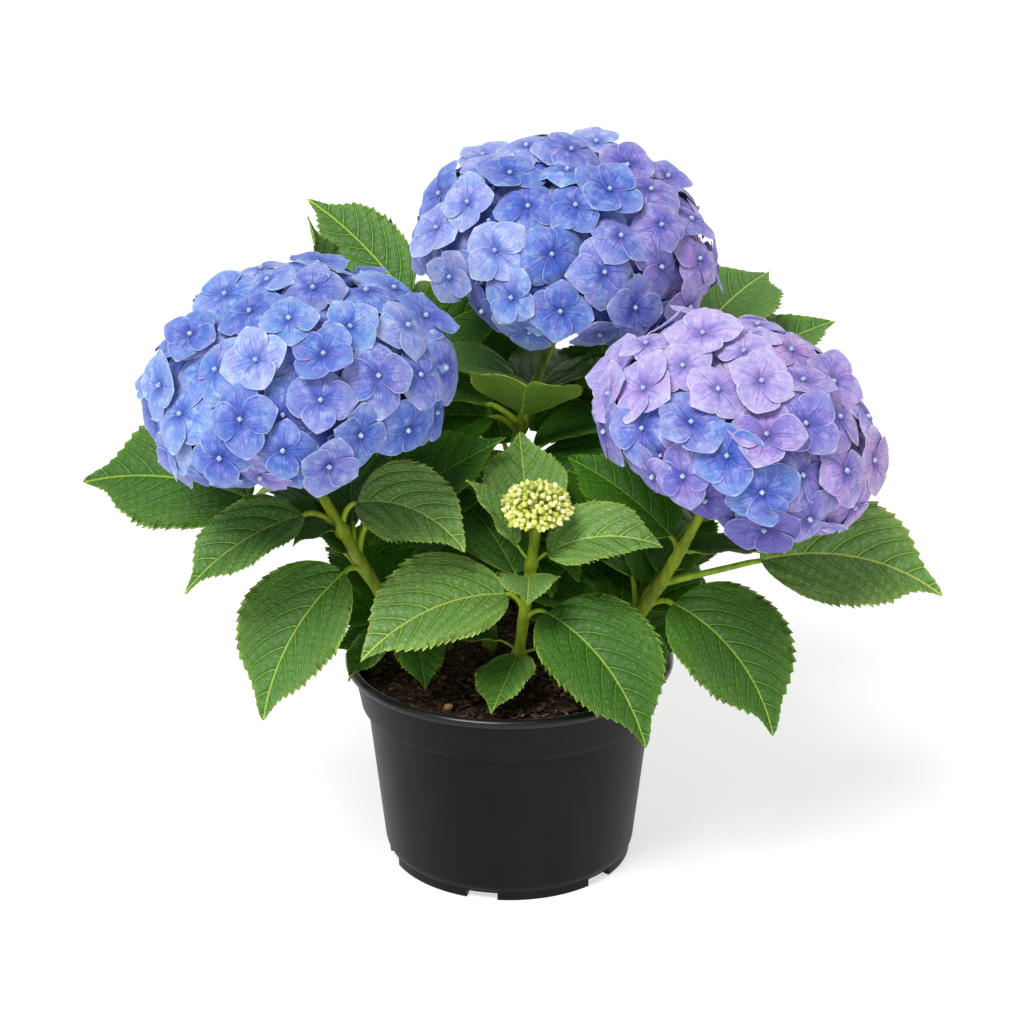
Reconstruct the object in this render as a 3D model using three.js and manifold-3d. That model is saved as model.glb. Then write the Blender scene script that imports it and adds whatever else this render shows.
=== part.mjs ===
// A potted mophead hydrangea. Three shoots carry a domed flower head each, a short front shoot
// carries a cluster of green buds, and two blind shoots fill the back with leaves.
// Millimetres, +Z up, the front faces -Y, the origin is the middle of the pot's underside.
import * as THREE from 'three';
import { mergeVertices } from 'three/addons/utils/BufferGeometryUtils.js';
import Module from 'manifold-3d';

const wasm = await Module();
wasm.setup();

// ---------------------------------------------------------------- driving sizes
const GAP = 0.3; // clearance kept between neighbouring pieces

const POT_HEIGHT = 124;
const LIP_RADIUS = 95; // rolled lip, outside
const COLLAR_TOP_RADIUS = 88.6; // collar just under the lip
const COLLAR_BOTTOM_RADIUS = 85.2;
const COLLAR_BOTTOM = 95.5; // height of the step under the collar
const BODY_TOP_RADIUS = 82.6; // body just under the step
const BODY_BOTTOM_RADIUS = 73;
const FOOT_RADIUS = 71;
const FOOT_INNER_RADIUS = 62;
const FOOT_HEIGHT = 6; // the base plate is carried this far above the ground
const BOSS_RADIUS = 17; // round boss in the middle of the underside
const WALL = 1.9;
const BASE_PLATE = 2.4;
const NOTCH_COUNT = 6; // drainage notches through the foot ring
const NOTCH_WIDTH = 18;
const NOTCH_HEIGHT = 4.6;
const NOTCH_START = -102.8; // degrees, the notch nearest the front
const ROUND = 40; // sides of the pot and the soil

const SOIL_LEVEL = 116;
const SOIL_ROUGHNESS = 1.4;
const STEM_DEPTH = 8; // how far a stem's flat cut sits under the soil's surface

const STEM_RADIUS = 3.9; // at the soil, tapering to the flower head
const STEM_TIP_RADIUS = 2.7;
const PETIOLE_RADIUS = 1.9;
const LEAF_THICKNESS = 1.9; // along the midrib
const LEAF_FOLD = 15; // degrees that each half is raised
const LEAF_SHARE = 0.68; // width over length, where a leaf names no other

const FLORET_RADIUS = 23;
const FLORET_DEPTH = 14; // from the rim down to the root inside the core
const FLORET_STAND = 7.5; // how far the rims stand off the core

const rad = THREE.MathUtils.degToRad;
const lerp = THREE.MathUtils.lerp;
const V = (x, y, z) => new THREE.Vector3(x, y, z);

// ---------------------------------------------------------------- the plant's plan
// Each shoot is one limb: it leaves the soil at foot, bends at knee and ends at top. Its bare lower
// part ends at bare, where the leafy part begins. A leaf row is: place on the shoot, heading
// (0 is right, 90 is back), stalk length, stalk rise, blade pitch at the base and at the tip,
// blade length, roll, and width share.
const SHOOTS = {
  front: {
    foot: V(3, -30, SOIL_LEVEL), knee: V(8, -46, 165), top: V(15, -55, 222), bare: 0.15, radius: 3.4,
    leaves: [
      [0.50, 205, 18, 50, 12, -44, 95, -25, 0.7],
      [0.45, -42, 20, 30, -9, -70, 98, 18, 0.72],
      [0.72, -92, 8, 20, 22, -25, 37, 0, 0.95],
      [0.22, -107, 5, 20, -15, -18, 50, 8, 0.8],
      [0.80, 96, 24, 62, 28, 38, 62, 0, 0.8],
      [0.80, 186, 14, 55, 64, 46, 48, -26, 0.5],
      [0.78, -13, 13, 46, 36, -20, 68, 30],
      [0.58, 120, 16, 45, 38, 0, 80, 0],
      [0.22, -10, 14, 20, 5, -40, 40, 0, 0.7],
      [0.24, 172, 14, 30, 15, -30, 34, 0],
    ],
  },
  left: {
    foot: V(-45, -5, SOIL_LEVEL), knee: V(-74, -20, 166), top: V(-105, -44, 242), bare: 0.12, radius: 4.2,
    leaves: [
      [0.80, 160, 56, 12, 16, -20, 108, -43, 0.63],
      [0.80, 204, 26, 30, -6, -48, 80, -22, 0.64],
      [0.42, 214, 34, 38, -34, -74, 94, -22, 0.74],
      [0.80, -20, 20, 62, 18, -54, 72, 38, 0.72],
      [0.66, 10, 32, 66, 30, 26, 80, 28],
      [0.42, 25, 24, 45, 10, -30, 58, 10],
      [0.58, 135, 26, 45, 38, 0, 80, 0],
      [0.58, 195, 16, 30, 5, -45, 64, 0],
      [0.28, 135, 16, 45, 38, 0, 80, 0],
      [0.18, 222, 12, 40, 0, -50, 44, 0, 0.7],
      [0.20, -78, 12, 30, 5, -50, 44, 0, 0.7],
    ],
  },
  right: {
    foot: V(50, -5, SOIL_LEVEL), knee: V(80, -28, 162), top: V(106, -50, 232), bare: 0.16, radius: 4.2,
    leaves: [
      [0.30, -30, 34, 36, -14, -76, 99, 22, 0.76],
      [0.60, 3, 57, 13, 9, -37, 111, 43, 0.64],
      [0.62, 144, 28, 100, 38, 10, 78, -24, 0.7],
      [0.30, 160, 24, 35, 15, -25, 62, -10],
      [0.38, 60, 20, 45, 36, 0, 80, 0],
      [0.80, 70, 20, 20, 0, -40, 76, 0],
      [0.48, 30, 22, 20, -10, -55, 60, 0],
      [0.38, 0, 26, 40, 20, -30, 80, 0],
      [0.22, -50, 10, 35, 0, -50, 34, 0, 0.7],
      [0.80, -110, 14, 10, -20, -60, 40, 0],
    ],
  },
  centre: {
    foot: V(-12, 22, SOIL_LEVEL), knee: V(-12, 42, 209), top: V(24, 68, 288), bare: 0.12, radius: 4.4,
    leaves: [
      [0.84, 168, 14, 34, 18, -12, 72, 0],
      [0.72, -87, 15, 48, 46, 19, 70, -9, 0.95],
      [0.72, 176, 24, 35, 15, -30, 88, 0],
      [0.72, 64, 24, 40, 20, -25, 90, 0],
      [0.56, 6, 22, 48, 32, -24, 84, 0],
      [0.56, 190, 22, 40, 14, -36, 76, 0],
      [0.58, 105, 16, 45, 38, 0, 80, 0],
      [0.30, -20, 20, 40, 16, -36, 66, 0],
      [0.38, 274, 16, 30, 0, -55, 44, 0],
      [0.38, -48, 18, 30, 0, -40, 60, 0],
      [0.16, -122, 14, 30, -10, -60, 42, 0],
    ],
  },
  back_left: {
    foot: V(-28, 38, SOIL_LEVEL), knee: V(-46, 80, 196), top: V(-58, 120, 276), bare: 0.18, radius: 3.8,
    leaves: [
      [0.96, 140, 32, 80, 43, 16, 102, -35, 0.56],
      [0.80, 132, 36, 58, 55, 12, 105, 12, 0.62],
      [0.96, 60, 22, 40, 20, -35, 84, 0],
      [0.74, 110, 26, 35, 10, -40, 98, 0],
      [0.50, 176, 28, 30, 5, -40, 98, 0],
      [0.28, 118, 26, 30, 0, -45, 90, 0],
      [0.30, 200, 22, 30, 0, -50, 62, 0],
      [0.50, 70, 24, 36, 5, -40, 84, 0],
    ],
  },
  back_right: {
    foot: V(28, 42, SOIL_LEVEL), knee: V(62, 84, 190), top: V(104, 112, 262), bare: 0.18, radius: 3.8,
    leaves: [
      [0.96, 56, 28, 40, 23, 3, 92, 10, 0.76],
      [0.84, 35, 48, 17, 14, 6, 93, 7],
      [0.96, 125, 22, 40, 20, -35, 84, 0],
      [0.74, 75, 26, 35, 10, -40, 98, 0],
      [0.50, 15, 28, 30, 5, -40, 98, 0],
      [0.50, 130, 24, 30, 5, -40, 86, 0],
      [0.28, 62, 26, 30, 0, -45, 90, 0],
      [0.30, 335, 22, 30, 0, -50, 64, 0],
      [0.74, 150, 24, 35, 10, -40, 70, 0],
    ],
  },
};

// Each flower head is a dome of two half ellipsoids, tilted by tilt towards heading.
const HEADS = {
  left: { centre: V(-112, -44, 295), across: 89, up: 70, low: 46, heading: 205, tilt: 20, florets: 36 },
  centre: { centre: V(31, 72, 330), across: 88, up: 71, low: 46, heading: -60, tilt: 12, florets: 36 },
  right: { centre: V(120, -56, 270), across: 86, up: 70, low: 42, heading: -20, tilt: 28, florets: 36 },
};
const BUDS = { centre: V(15, -56, 234), across: 18, up: 13, low: 7, heading: -90, tilt: 12, buds: 32, size: 3.6 };

// ---------------------------------------------------------------- solids from geometry
function solid(geometry) {
  const g = geometry.index ? geometry.toNonIndexed() : geometry.clone();
  for (const name of Object.keys(g.attributes)) if (name !== 'position') g.deleteAttribute(name);
  const merged = mergeVertices(g, 1e-3);
  const at = merged.index.array;
  const tris = [];
  for (let i = 0; i < at.length; i += 3) {
    const [a, b, c] = [at[i], at[i + 1], at[i + 2]];
    if (a !== b && b !== c && c !== a) tris.push(a, b, c);
  }
  const p = merged.attributes.position.array;
  let volume = 0;
  for (let i = 0; i < tris.length; i += 3) {
    const [a, b, c] = [tris[i] * 3, tris[i + 1] * 3, tris[i + 2] * 3];
    volume += p[a] * (p[b + 1] * p[c + 2] - p[b + 2] * p[c + 1])
      + p[a + 1] * (p[b + 2] * p[c] - p[b] * p[c + 2])
      + p[a + 2] * (p[b] * p[c + 1] - p[b + 1] * p[c]);
  }
  if (volume < 0) for (let i = 0; i < tris.length; i += 3) [tris[i], tris[i + 1]] = [tris[i + 1], tris[i]];
  return new wasm.Manifold(new wasm.Mesh({
    numProp: 3, vertProperties: Float32Array.from(p), triVerts: Uint32Array.from(tris),
  }));
}

function geometryOf(manifold) {
  const mesh = manifold.getMesh();
  const g = new THREE.BufferGeometry();
  g.setAttribute('position', new THREE.BufferAttribute(new Float32Array(mesh.vertProperties), 3));
  g.setIndex(new THREE.BufferAttribute(new Uint32Array(mesh.triVerts), 1));
  g.computeVertexNormals();
  return g;
}

const union = (list) => list.reduce((sum, one) => sum.add(one));

// Moves every vertex of a geometry by a rule.
function reshape(geometry, rule) {
  const p = geometry.attributes.position;
  const v = V();
  for (let i = 0; i < p.count; i++) {
    const q = rule(v.fromBufferAttribute(p, i).clone());
    p.setXYZ(i, q.x, q.y, q.z);
  }
  return geometry;
}

// A seeded stream of numbers from 0 to 1.
function stream(seed) {
  let s = seed;
  return () => (s = (s * 9301 + 49297) % 233280) / 233280;
}

// ---------------------------------------------------------------- limbs
// A round tapering limb along a curve: a cylinder with its rings set across the curve.
function limb(curve, from, to, r0, r1, sides, rings) {
  const first = curve.getTangent(from);
  const ref = Math.abs(first.z) > 0.75 ? V(0, 1, 0) : V(0, 0, 1);
  return solid(reshape(new THREE.CylinderGeometry(1, 1, 1, sides, rings), (p) => {
    const f = p.y + 0.5;
    const t = lerp(from, to, f);
    const along = curve.getTangent(t);
    const side = along.clone().cross(ref).normalize();
    const up = side.clone().cross(along);
    const r = lerp(r0, r1, f);
    return curve.getPoint(t).addScaledVector(side, p.x * r).addScaledVector(up, p.z * r);
  }));
}

const shootCurve = (s) => new THREE.QuadraticBezierCurve3(s.foot, s.knee, s.top);
const shootRadius = (s, t) => lerp(s.radius, STEM_TIP_RADIUS, t);

// ---------------------------------------------------------------- leaves
// Half width along a blade: 0 at the base and the tip, 1 at the widest place.
function halfWidth(u) {
  const wide = 0.42;
  if (u < wide) return Math.sin((Math.PI / 2) * (u / wide) ** 0.62) ** 0.9;
  const k = (u - wide) / (1 - wide);
  return (1 - k ** 1.75) * (1 - 0.12 * k);
}

// A leaf's rings, from the point inside the stem, along the stalk, to the blade's tip.
const STALK_RINGS = [0, 0.12, 0.5, 1];
const BLADE_RINGS = [0.13, 0.36, 0.62, 0.85, 1];

// One leaf with its stalk: a four-sided body whose side corners open out into the blade's edges.
function leaf(shoot, row, pad = 0) {
  const [t, heading, stalk, rise, pitch0, pitch1, length, roll, share = LEAF_SHARE] = row;
  const start = shootCurve(shoot).getPoint(t);
  const h = rad(heading);
  const step = (pitch) => V(Math.cos(pitch) * Math.cos(h), Math.cos(pitch) * Math.sin(h), Math.sin(pitch));
  const base = start.clone().addScaledVector(step(rad(rise)), stalk);
  const pitchAt = (u) => rad(lerp(pitch0, pitch1, u));
  const midrib = (u) => {
    const p = base.clone();
    const n = 12;
    for (let i = 0; i < n; i++) p.addScaledVector(step(pitchAt((u * (i + 0.5)) / n)), (u * length) / n);
    return p;
  };
  const side = V(-Math.sin(h), Math.cos(h), 0);
  const fold = rad(LEAF_FOLD);
  const rows = STALK_RINGS.length + BLADE_RINGS.length - 1;
  return solid(reshape(new THREE.SphereGeometry(1, 4, rows), (p) => {
    const ring = Math.round((Math.acos(THREE.MathUtils.clamp(p.y, -1, 1)) / Math.PI) * rows);
    const spread = Math.sin((ring / rows) * Math.PI) || 1;
    const end = ring === 0 || ring === rows;
    const across = end ? 0 : Math.round(p.x / spread);
    const thick = end ? 0 : Math.round(p.z / spread);
    const onStalk = ring < STALK_RINGS.length;
    const u = onStalk ? 0 : BLADE_RINGS[ring - STALK_RINGS.length];
    const pitch = onStalk ? lerp(rad(rise), pitchAt(0), ring / STALK_RINGS.length) : pitchAt(u);
    const up = side.clone().cross(step(pitch)).negate();
    const r = rad(roll) * (onStalk ? STALK_RINGS[ring] : 1);
    const s = side.clone().multiplyScalar(Math.cos(r)).addScaledVector(up, Math.sin(r));
    const n = up.clone().multiplyScalar(Math.cos(r)).addScaledVector(side, -Math.sin(r));
    if (onStalk) {
      const reach = PETIOLE_RADIUS * lerp(1.25, 0.75, STALK_RINGS[ring]) + pad;
      return start.clone().lerp(base, STALK_RINGS[ring]).addScaledVector(s, across * reach).addScaledVector(n, thick * reach);
    }
    const w = (halfWidth(u) * length * share) / 2 + (across ? pad : 0);
    return midrib(u)
      .addScaledVector(s, across * w * Math.cos(fold))
      .addScaledVector(n, Math.abs(across) * w * Math.sin(fold) + thick * ((LEAF_THICKNESS / 2) * (1 - 0.45 * u) + pad));
  }));
}

// ---------------------------------------------------------------- flower heads
function domeFrame(head) {
  const h = rad(head.heading);
  const tilt = rad(head.tilt);
  const axis = V(Math.sin(tilt) * Math.cos(h), Math.sin(tilt) * Math.sin(h), Math.cos(tilt));
  const u = V(0, 1, 0).cross(axis).normalize();
  const v = axis.clone().cross(u);
  return { axis, u, v };
}

// A point on the dome and its outward direction; polar is the angle from the top.
function domePoint(head, frame, polar, turn, grow = 0) {
  const half = polar < Math.PI / 2 ? head.up : head.low;
  const a = head.across + grow;
  const b = half + grow;
  const l = V(a * Math.sin(polar) * Math.cos(turn), a * Math.sin(polar) * Math.sin(turn), b * Math.cos(polar));
  const n = V(l.x / (a * a), l.y / (a * a), l.z / (b * b)).normalize();
  const toWorld = (q) => V().addScaledVector(frame.u, q.x).addScaledVector(frame.v, q.y).addScaledVector(frame.axis, q.z);
  return { point: toWorld(l).add(head.centre), normal: toWorld(n) };
}

function core(head, frame, shrink, around, down) {
  return solid(reshape(new THREE.SphereGeometry(1, around, down), (p) => {
    const a = head.across - shrink;
    const b = (p.y >= 0 ? head.up : head.low) - shrink;
    return head.centre.clone().addScaledVector(frame.u, p.x * a)
      .addScaledVector(frame.v, p.z * a).addScaledVector(frame.axis, p.y * b);
  }));
}

// Spreads count places evenly over the dome down to the polar angle last.
function* spiral(count, last) {
  for (let i = 0; i < count; i++) {
    const c = 1 - ((i + 0.5) / count) * (1 - Math.cos(last));
    yield { i, polar: Math.acos(c), turn: i * Math.PI * (3 - Math.sqrt(5)) };
  }
}

// One four-petalled floret: a shallow pyramid, a corner to a petal, dished on top, its root in the core.
function floret(at, radius, turn) {
  const profile = [new THREE.Vector2(0, -FLORET_DEPTH), new THREE.Vector2(1, 0), new THREE.Vector2(0, -3)];
  const side = Math.abs(at.normal.z) > 0.9 ? V(1, 0, 0) : V(0, 0, 1);
  const x = side.cross(at.normal).normalize();
  const y = at.normal.clone().cross(x);
  return solid(reshape(new THREE.LatheGeometry(profile, 4), (p) => {
    const r = Math.hypot(p.x, p.z);
    const a = Math.atan2(p.x, p.z) + turn;
    const reach = r < 0.5 ? 0 : radius;
    return at.point.clone().addScaledVector(x, reach * Math.cos(a))
      .addScaledVector(y, reach * Math.sin(a)).addScaledVector(at.normal, p.y);
  }));
}

function flowerHead(shoot, head, seed, others) {
  const next = stream(seed);
  const frame = domeFrame(head);
  const parts = [core(head, frame, FLORET_STAND, 14, 8)];
  const curve = shootCurve(shoot);
  const top = curve.getPoint(1);
  const tangent = curve.getTangent(1);
  const foot = top.clone().addScaledVector(tangent, GAP);
  const inside = domePoint(head, frame, Math.PI, 0, -FLORET_STAND - 9).point;
  const straight = new THREE.QuadraticBezierCurve3(foot, foot.clone().addScaledVector(tangent, 6), inside);
  parts.push(limb(straight, 0, 1, STEM_TIP_RADIUS, 2.2, 8, 4));
  for (let i = 0; i < 5; i++) {
    const turn = (i / 5) * 2 * Math.PI + seed;
    const end = domePoint(head, frame, rad(128), turn, -FLORET_STAND - 8).point;
    const from = foot.clone().addScaledVector(tangent, 2.5);
    const mid = from.clone().lerp(end, 0.5).addScaledVector(tangent, -3);
    parts.push(limb(new THREE.QuadraticBezierCurve3(from, mid, end), 0, 1, 1.9, 1.5, 6, 3));
  }
  for (const { polar, turn } of spiral(head.florets, rad(118))) {
    const at = domePoint(head, frame, polar, turn, lerp(-1.5, 1.5, next()));
    const radius = FLORET_RADIUS * lerp(0.88, 1.1, next());
    const turned = next() * Math.PI;
    const room = floret(at, radius + 2 * GAP, turned);
    if (others.every((other) => other.intersect(room).isEmpty())) parts.push(floret(at, radius, turned));
  }
  return union(parts);
}

function budHead(shoot, head) {
  const frame = domeFrame(head);
  const curve = shootCurve(shoot);
  const top = curve.getPoint(1);
  const tangent = curve.getTangent(1);
  const foot = top.clone().addScaledVector(tangent, GAP);
  const stalk = new THREE.QuadraticBezierCurve3(foot, foot.clone().addScaledVector(tangent, 4), head.centre);
  const parts = [core(head, frame, 0.8, 10, 6), limb(stalk, 0, 1, STEM_TIP_RADIUS, 2.2, 8, 3)];
  for (const { polar, turn } of spiral(head.buds, rad(104))) {
    const at = domePoint(head, frame, polar, turn);
    parts.push(solid(reshape(new THREE.SphereGeometry(head.size, 4, 2), (p) => p.add(at.point))));
  }
  return union(parts);
}

// ---------------------------------------------------------------- pot and soil
const lathe = (profile, lift = 0) => solid(reshape(
  new THREE.LatheGeometry(profile.map(([r, z]) => new THREE.Vector2(r, z)), ROUND),
  (p) => V(p.x, -p.z, p.y + lift)));

// Inside wall radius at a height, from the base plate to the rim.
function innerRadius(z) {
  const step = COLLAR_BOTTOM - 1;
  if (z < step) return lerp(BODY_BOTTOM_RADIUS, BODY_TOP_RADIUS, (z - 8) / (COLLAR_BOTTOM - 8)) - WALL;
  return lerp(COLLAR_BOTTOM_RADIUS, COLLAR_TOP_RADIUS, (z - COLLAR_BOTTOM) / (116.5 - COLLAR_BOTTOM)) - WALL;
}
const FLOOR = FOOT_HEIGHT + BASE_PLATE;

function pot() {
  const shell = lathe([
    [0, 0], [BOSS_RADIUS, 0], [BOSS_RADIUS, FOOT_HEIGHT], [FOOT_INNER_RADIUS, FOOT_HEIGHT],
    [FOOT_INNER_RADIUS, 0], [FOOT_RADIUS, 0], [FOOT_RADIUS, 5.6],
    [BODY_BOTTOM_RADIUS, 8.4], [BODY_TOP_RADIUS, COLLAR_BOTTOM - 0.8],
    [COLLAR_BOTTOM_RADIUS, COLLAR_BOTTOM], [COLLAR_TOP_RADIUS, 116.2], [COLLAR_TOP_RADIUS + 0.6, 118.2],
    [LIP_RADIUS - 1.6, 117.6], [LIP_RADIUS, 120.2],
    [LIP_RADIUS - 2.6, POT_HEIGHT], [LIP_RADIUS - 6.5, POT_HEIGHT - 0.4], [COLLAR_TOP_RADIUS - WALL + 0.6, 119.5],
    [innerRadius(SOIL_LEVEL), SOIL_LEVEL], [innerRadius(COLLAR_BOTTOM - 1), COLLAR_BOTTOM - 1],
    [innerRadius(COLLAR_BOTTOM - 1.01) , COLLAR_BOTTOM - 3.5], [innerRadius(FLOOR), FLOOR],
    [0, FLOOR],
  ]);
  let out = shell;
  for (let i = 0; i < NOTCH_COUNT; i++) {
    const a = rad(NOTCH_START + (i * 360) / NOTCH_COUNT);
    const length = 30;
    const notch = new THREE.BoxGeometry(length, NOTCH_WIDTH, NOTCH_HEIGHT + 5);
    notch.translate(FOOT_INNER_RADIUS - 6 + length / 2, 0, (NOTCH_HEIGHT - 5) / 2);
    notch.rotateZ(a);
    out = out.subtract(solid(notch));
  }
  return out;
}

function soil(stems) {
  const next = stream(41);
  const rings = [72, 54, 34, 14];
  const edge = innerRadius(SOIL_LEVEL) - GAP;
  const profile = [
    [0, FLOOR + GAP], [innerRadius(FLOOR) - GAP - 0.4, FLOOR + GAP],
    [innerRadius(COLLAR_BOTTOM - 3.5) - GAP - 0.2, COLLAR_BOTTOM - 4], [innerRadius(COLLAR_BOTTOM - 1.01) - GAP - 0.2, COLLAR_BOTTOM + 0.2],
    [edge - 0.1, SOIL_LEVEL - 0.8], [edge - 3, SOIL_LEVEL + 0.4],
    ...rings.map((r) => [r, SOIL_LEVEL]), [0, SOIL_LEVEL],
  ];
  const bumps = new Map();
  const body = solid(reshape(
    new THREE.LatheGeometry(profile.map(([r, z]) => new THREE.Vector2(r, z)), 24),
    (p) => {
      const q = V(p.x, -p.z, p.y);
      const r = Math.hypot(q.x, q.y);
      if (q.z === SOIL_LEVEL && r > 1) {
        const key = `${Math.round(q.x)},${Math.round(q.y)}`;
        if (!bumps.has(key)) bumps.set(key, (next() - 0.5) * 2 * SOIL_ROUGHNESS);
        q.z += bumps.get(key);
      }
      return q;
    }));
  return stems.reduce((sum, hole) => sum.subtract(hole), body);
}

// ---------------------------------------------------------------- growing the plant
const order = Object.keys(SHOOTS);
const bodies = {}; // name of the piece -> solid
const standing = []; // what a leaf may not touch: { name, solid }
for (const name of order) {
  const s = SHOOTS[name];
  const curve = shootCurve(s);
  const start = curve.getPoint(0).addScaledVector(curve.getTangent(0), -STEM_DEPTH);
  const foot = new THREE.LineCurve3(start, curve.getPoint(0));
  const tip = s.bare - GAP / curve.getLength();
  bodies[`stem_${name}`] = union([
    limb(curve, 0, tip, shootRadius(s, 0), shootRadius(s, tip), 10, 4),
    limb(foot, 0, 1, s.radius, s.radius, 10, 1),
  ]);
  standing.push({ name: `stem_${name}`, solid: bodies[`stem_${name}`] });
}
for (const [name, seed] of [['left', 3], ['centre', 5], ['right', 8]]) {
  const others = Object.keys(HEADS).map((other) => bodies[`head_${other}`]).filter(Boolean);
  bodies[`head_${name}`] = flowerHead(SHOOTS[name], HEADS[name], seed, others);
  standing.push({ name: `head_${name}`, solid: bodies[`head_${name}`] });
}
bodies.head_buds = budHead(SHOOTS.front, BUDS);
standing.push({ name: 'head_buds', solid: bodies.head_buds });
const leafy = {};
for (const name of order) {
  const s = SHOOTS[name];
  leafy[name] = [limb(shootCurve(s), s.bare, 1, shootRadius(s, s.bare), STEM_TIP_RADIUS, 8, 6)];
  standing.push({ name: `leaves_${name}`, solid: leafy[name][0] });
}
const shellOfPot = pot();
standing.push({ name: 'pot', solid: shellOfPot });
const ground = solid(new THREE.CylinderGeometry(84, 84, 6, 24).rotateX(Math.PI / 2).translate(0, 0, SOIL_LEVEL - 1.2));
standing.push({ name: 'soil', solid: ground });

// A leaf is kept where it clears every piece but its own shoot, else it is left out.
const report = [];
for (const name of order) {
  SHOOTS[name].leaves.forEach((row, i) => {
    const test = leaf(SHOOTS[name], row, GAP / 2 + 0.05);
    const hit = standing.filter((o) => o.name !== `leaves_${name}` && !o.solid.intersect(test).isEmpty());
    if (hit.length) report.push(`${name} ${i}: ${hit.map((o) => `${o.name}${o.row ?? ''} ${o.solid.intersect(test).volume().toFixed(1)}`).join(', ')}`);
    else {
      leafy[name].push(leaf(SHOOTS[name], row));
      standing.push({ name: `leaves_${name}`, solid: test, row: `#${i}` });
    }
  });
}
for (const name of order) bodies[`leaves_${name}`] = union(leafy[name]);
if (report.length) console.log(report.join('\n'));

bodies.pot = shellOfPot;
bodies.soil = soil(order.map((name) => {
  const s = SHOOTS[name];
  const curve = shootCurve(s);
  const t = curve.getTangent(0);
  const start = curve.getPoint(0).addScaledVector(t, -STEM_DEPTH - GAP);
  return limb(new THREE.LineCurve3(start, curve.getPoint(0).addScaledVector(t, 12)), 0, 1, s.radius + GAP, s.radius + GAP, 10, 1);
}));

// ---------------------------------------------------------------- the scene graph
const LOOKS = {
  pot: { color: 0x2b2c30, roughness: 0.5 },
  soil: { color: 0x3b2a1f, roughness: 1 },
  stem: { color: 0x8a9a4a, roughness: 0.6 },
  leaves: { color: 0x3c6b2c, roughness: 0.5 },
  head_left: { color: 0x8fa0e2, roughness: 0.75 },
  head_centre: { color: 0x8b93df, roughness: 0.75 },
  head_right: { color: 0xb09ade, roughness: 0.75 },
  head_buds: { color: 0xc3cc7e, roughness: 0.7 },
};

const hydrangea = new THREE.Group();
hydrangea.name = 'potted_hydrangea';
const plant = new THREE.Group();
hydrangea.add(plant);
for (const [name, body] of Object.entries(bodies)) {
  const look = LOOKS[name] ?? LOOKS[name.split('_')[0]];
  const mesh = new THREE.Mesh(geometryOf(body), new THREE.MeshStandardMaterial({ ...look, metalness: 0 }));
  mesh.name = name;
  (name === 'pot' || name === 'soil' ? hydrangea : plant).add(mesh);
}

export default hydrangea;
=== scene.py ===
"""A potted mophead hydrangea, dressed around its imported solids.

Order of making: the pot, its soil, the woody shoots, the leaves with their stalks, the three
flower heads, the cluster of green buds, and then the floor, the lights and the camera.
"""
import math

import bpy
import numpy as np
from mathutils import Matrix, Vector, noise


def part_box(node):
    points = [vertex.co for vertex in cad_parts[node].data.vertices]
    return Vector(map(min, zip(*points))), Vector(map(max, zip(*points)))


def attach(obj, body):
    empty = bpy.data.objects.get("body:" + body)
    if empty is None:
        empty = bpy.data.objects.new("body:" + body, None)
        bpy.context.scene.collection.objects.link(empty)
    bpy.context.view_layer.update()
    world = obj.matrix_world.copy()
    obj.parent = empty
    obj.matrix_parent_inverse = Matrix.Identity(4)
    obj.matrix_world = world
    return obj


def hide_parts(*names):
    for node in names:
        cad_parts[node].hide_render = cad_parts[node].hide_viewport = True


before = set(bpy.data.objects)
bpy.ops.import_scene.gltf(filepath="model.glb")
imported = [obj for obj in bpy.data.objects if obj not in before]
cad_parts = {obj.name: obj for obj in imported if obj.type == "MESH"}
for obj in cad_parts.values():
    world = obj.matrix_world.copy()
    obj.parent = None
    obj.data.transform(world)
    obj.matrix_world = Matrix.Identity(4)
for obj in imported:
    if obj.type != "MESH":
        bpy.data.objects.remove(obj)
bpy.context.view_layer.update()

MM = 0.001


# ---------------------------------------------------------------------------------------------
# Pot. A round nursery pot moulded in black polypropylene: a thin tapered wall, a wider collar
# above a step, a rolled lip, and a foot ring cut by six drainage notches. It is made by drawing
# its section round as rings, each extruded from the last.
# ---------------------------------------------------------------------------------------------
class Wire:
    """One output in a material's node tree. Sums on it, such as 1 - wire * 0.3, add Math nodes."""

    def __init__(self, finish, socket):
        self.finish, self.socket = finish, socket

    def maths(self, operation, first, second=0.0):
        return self.finish.node("ShaderNodeMath", {"operation": operation}, {0: first, 1: second})

    def __add__(self, other):
        return self.maths("ADD", self, other)

    def __sub__(self, other):
        return self.maths("SUBTRACT", self, other)

    def __rsub__(self, other):
        return self.maths("SUBTRACT", other, self)

    def __mul__(self, other):
        return self.maths("MULTIPLY", self, other)

    def __abs__(self):
        return self.maths("ABSOLUTE", self)

    __radd__ = __add__
    __rmul__ = __mul__

    def fraction(self):
        return self.maths("FRACT", self)

    def most(self, other):
        return self.maths("MAXIMUM", self, other)

    def rise(self, low, high):
        """0 below low and 1 above high, smoothly; with low above high it falls instead."""
        if low > high:
            return 1 - self.rise(high, low)
        return self.finish.node("ShaderNodeMapRange", {"interpolation_type": "SMOOTHSTEP"},
                                {0: self, 1: low, 2: high})


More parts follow.
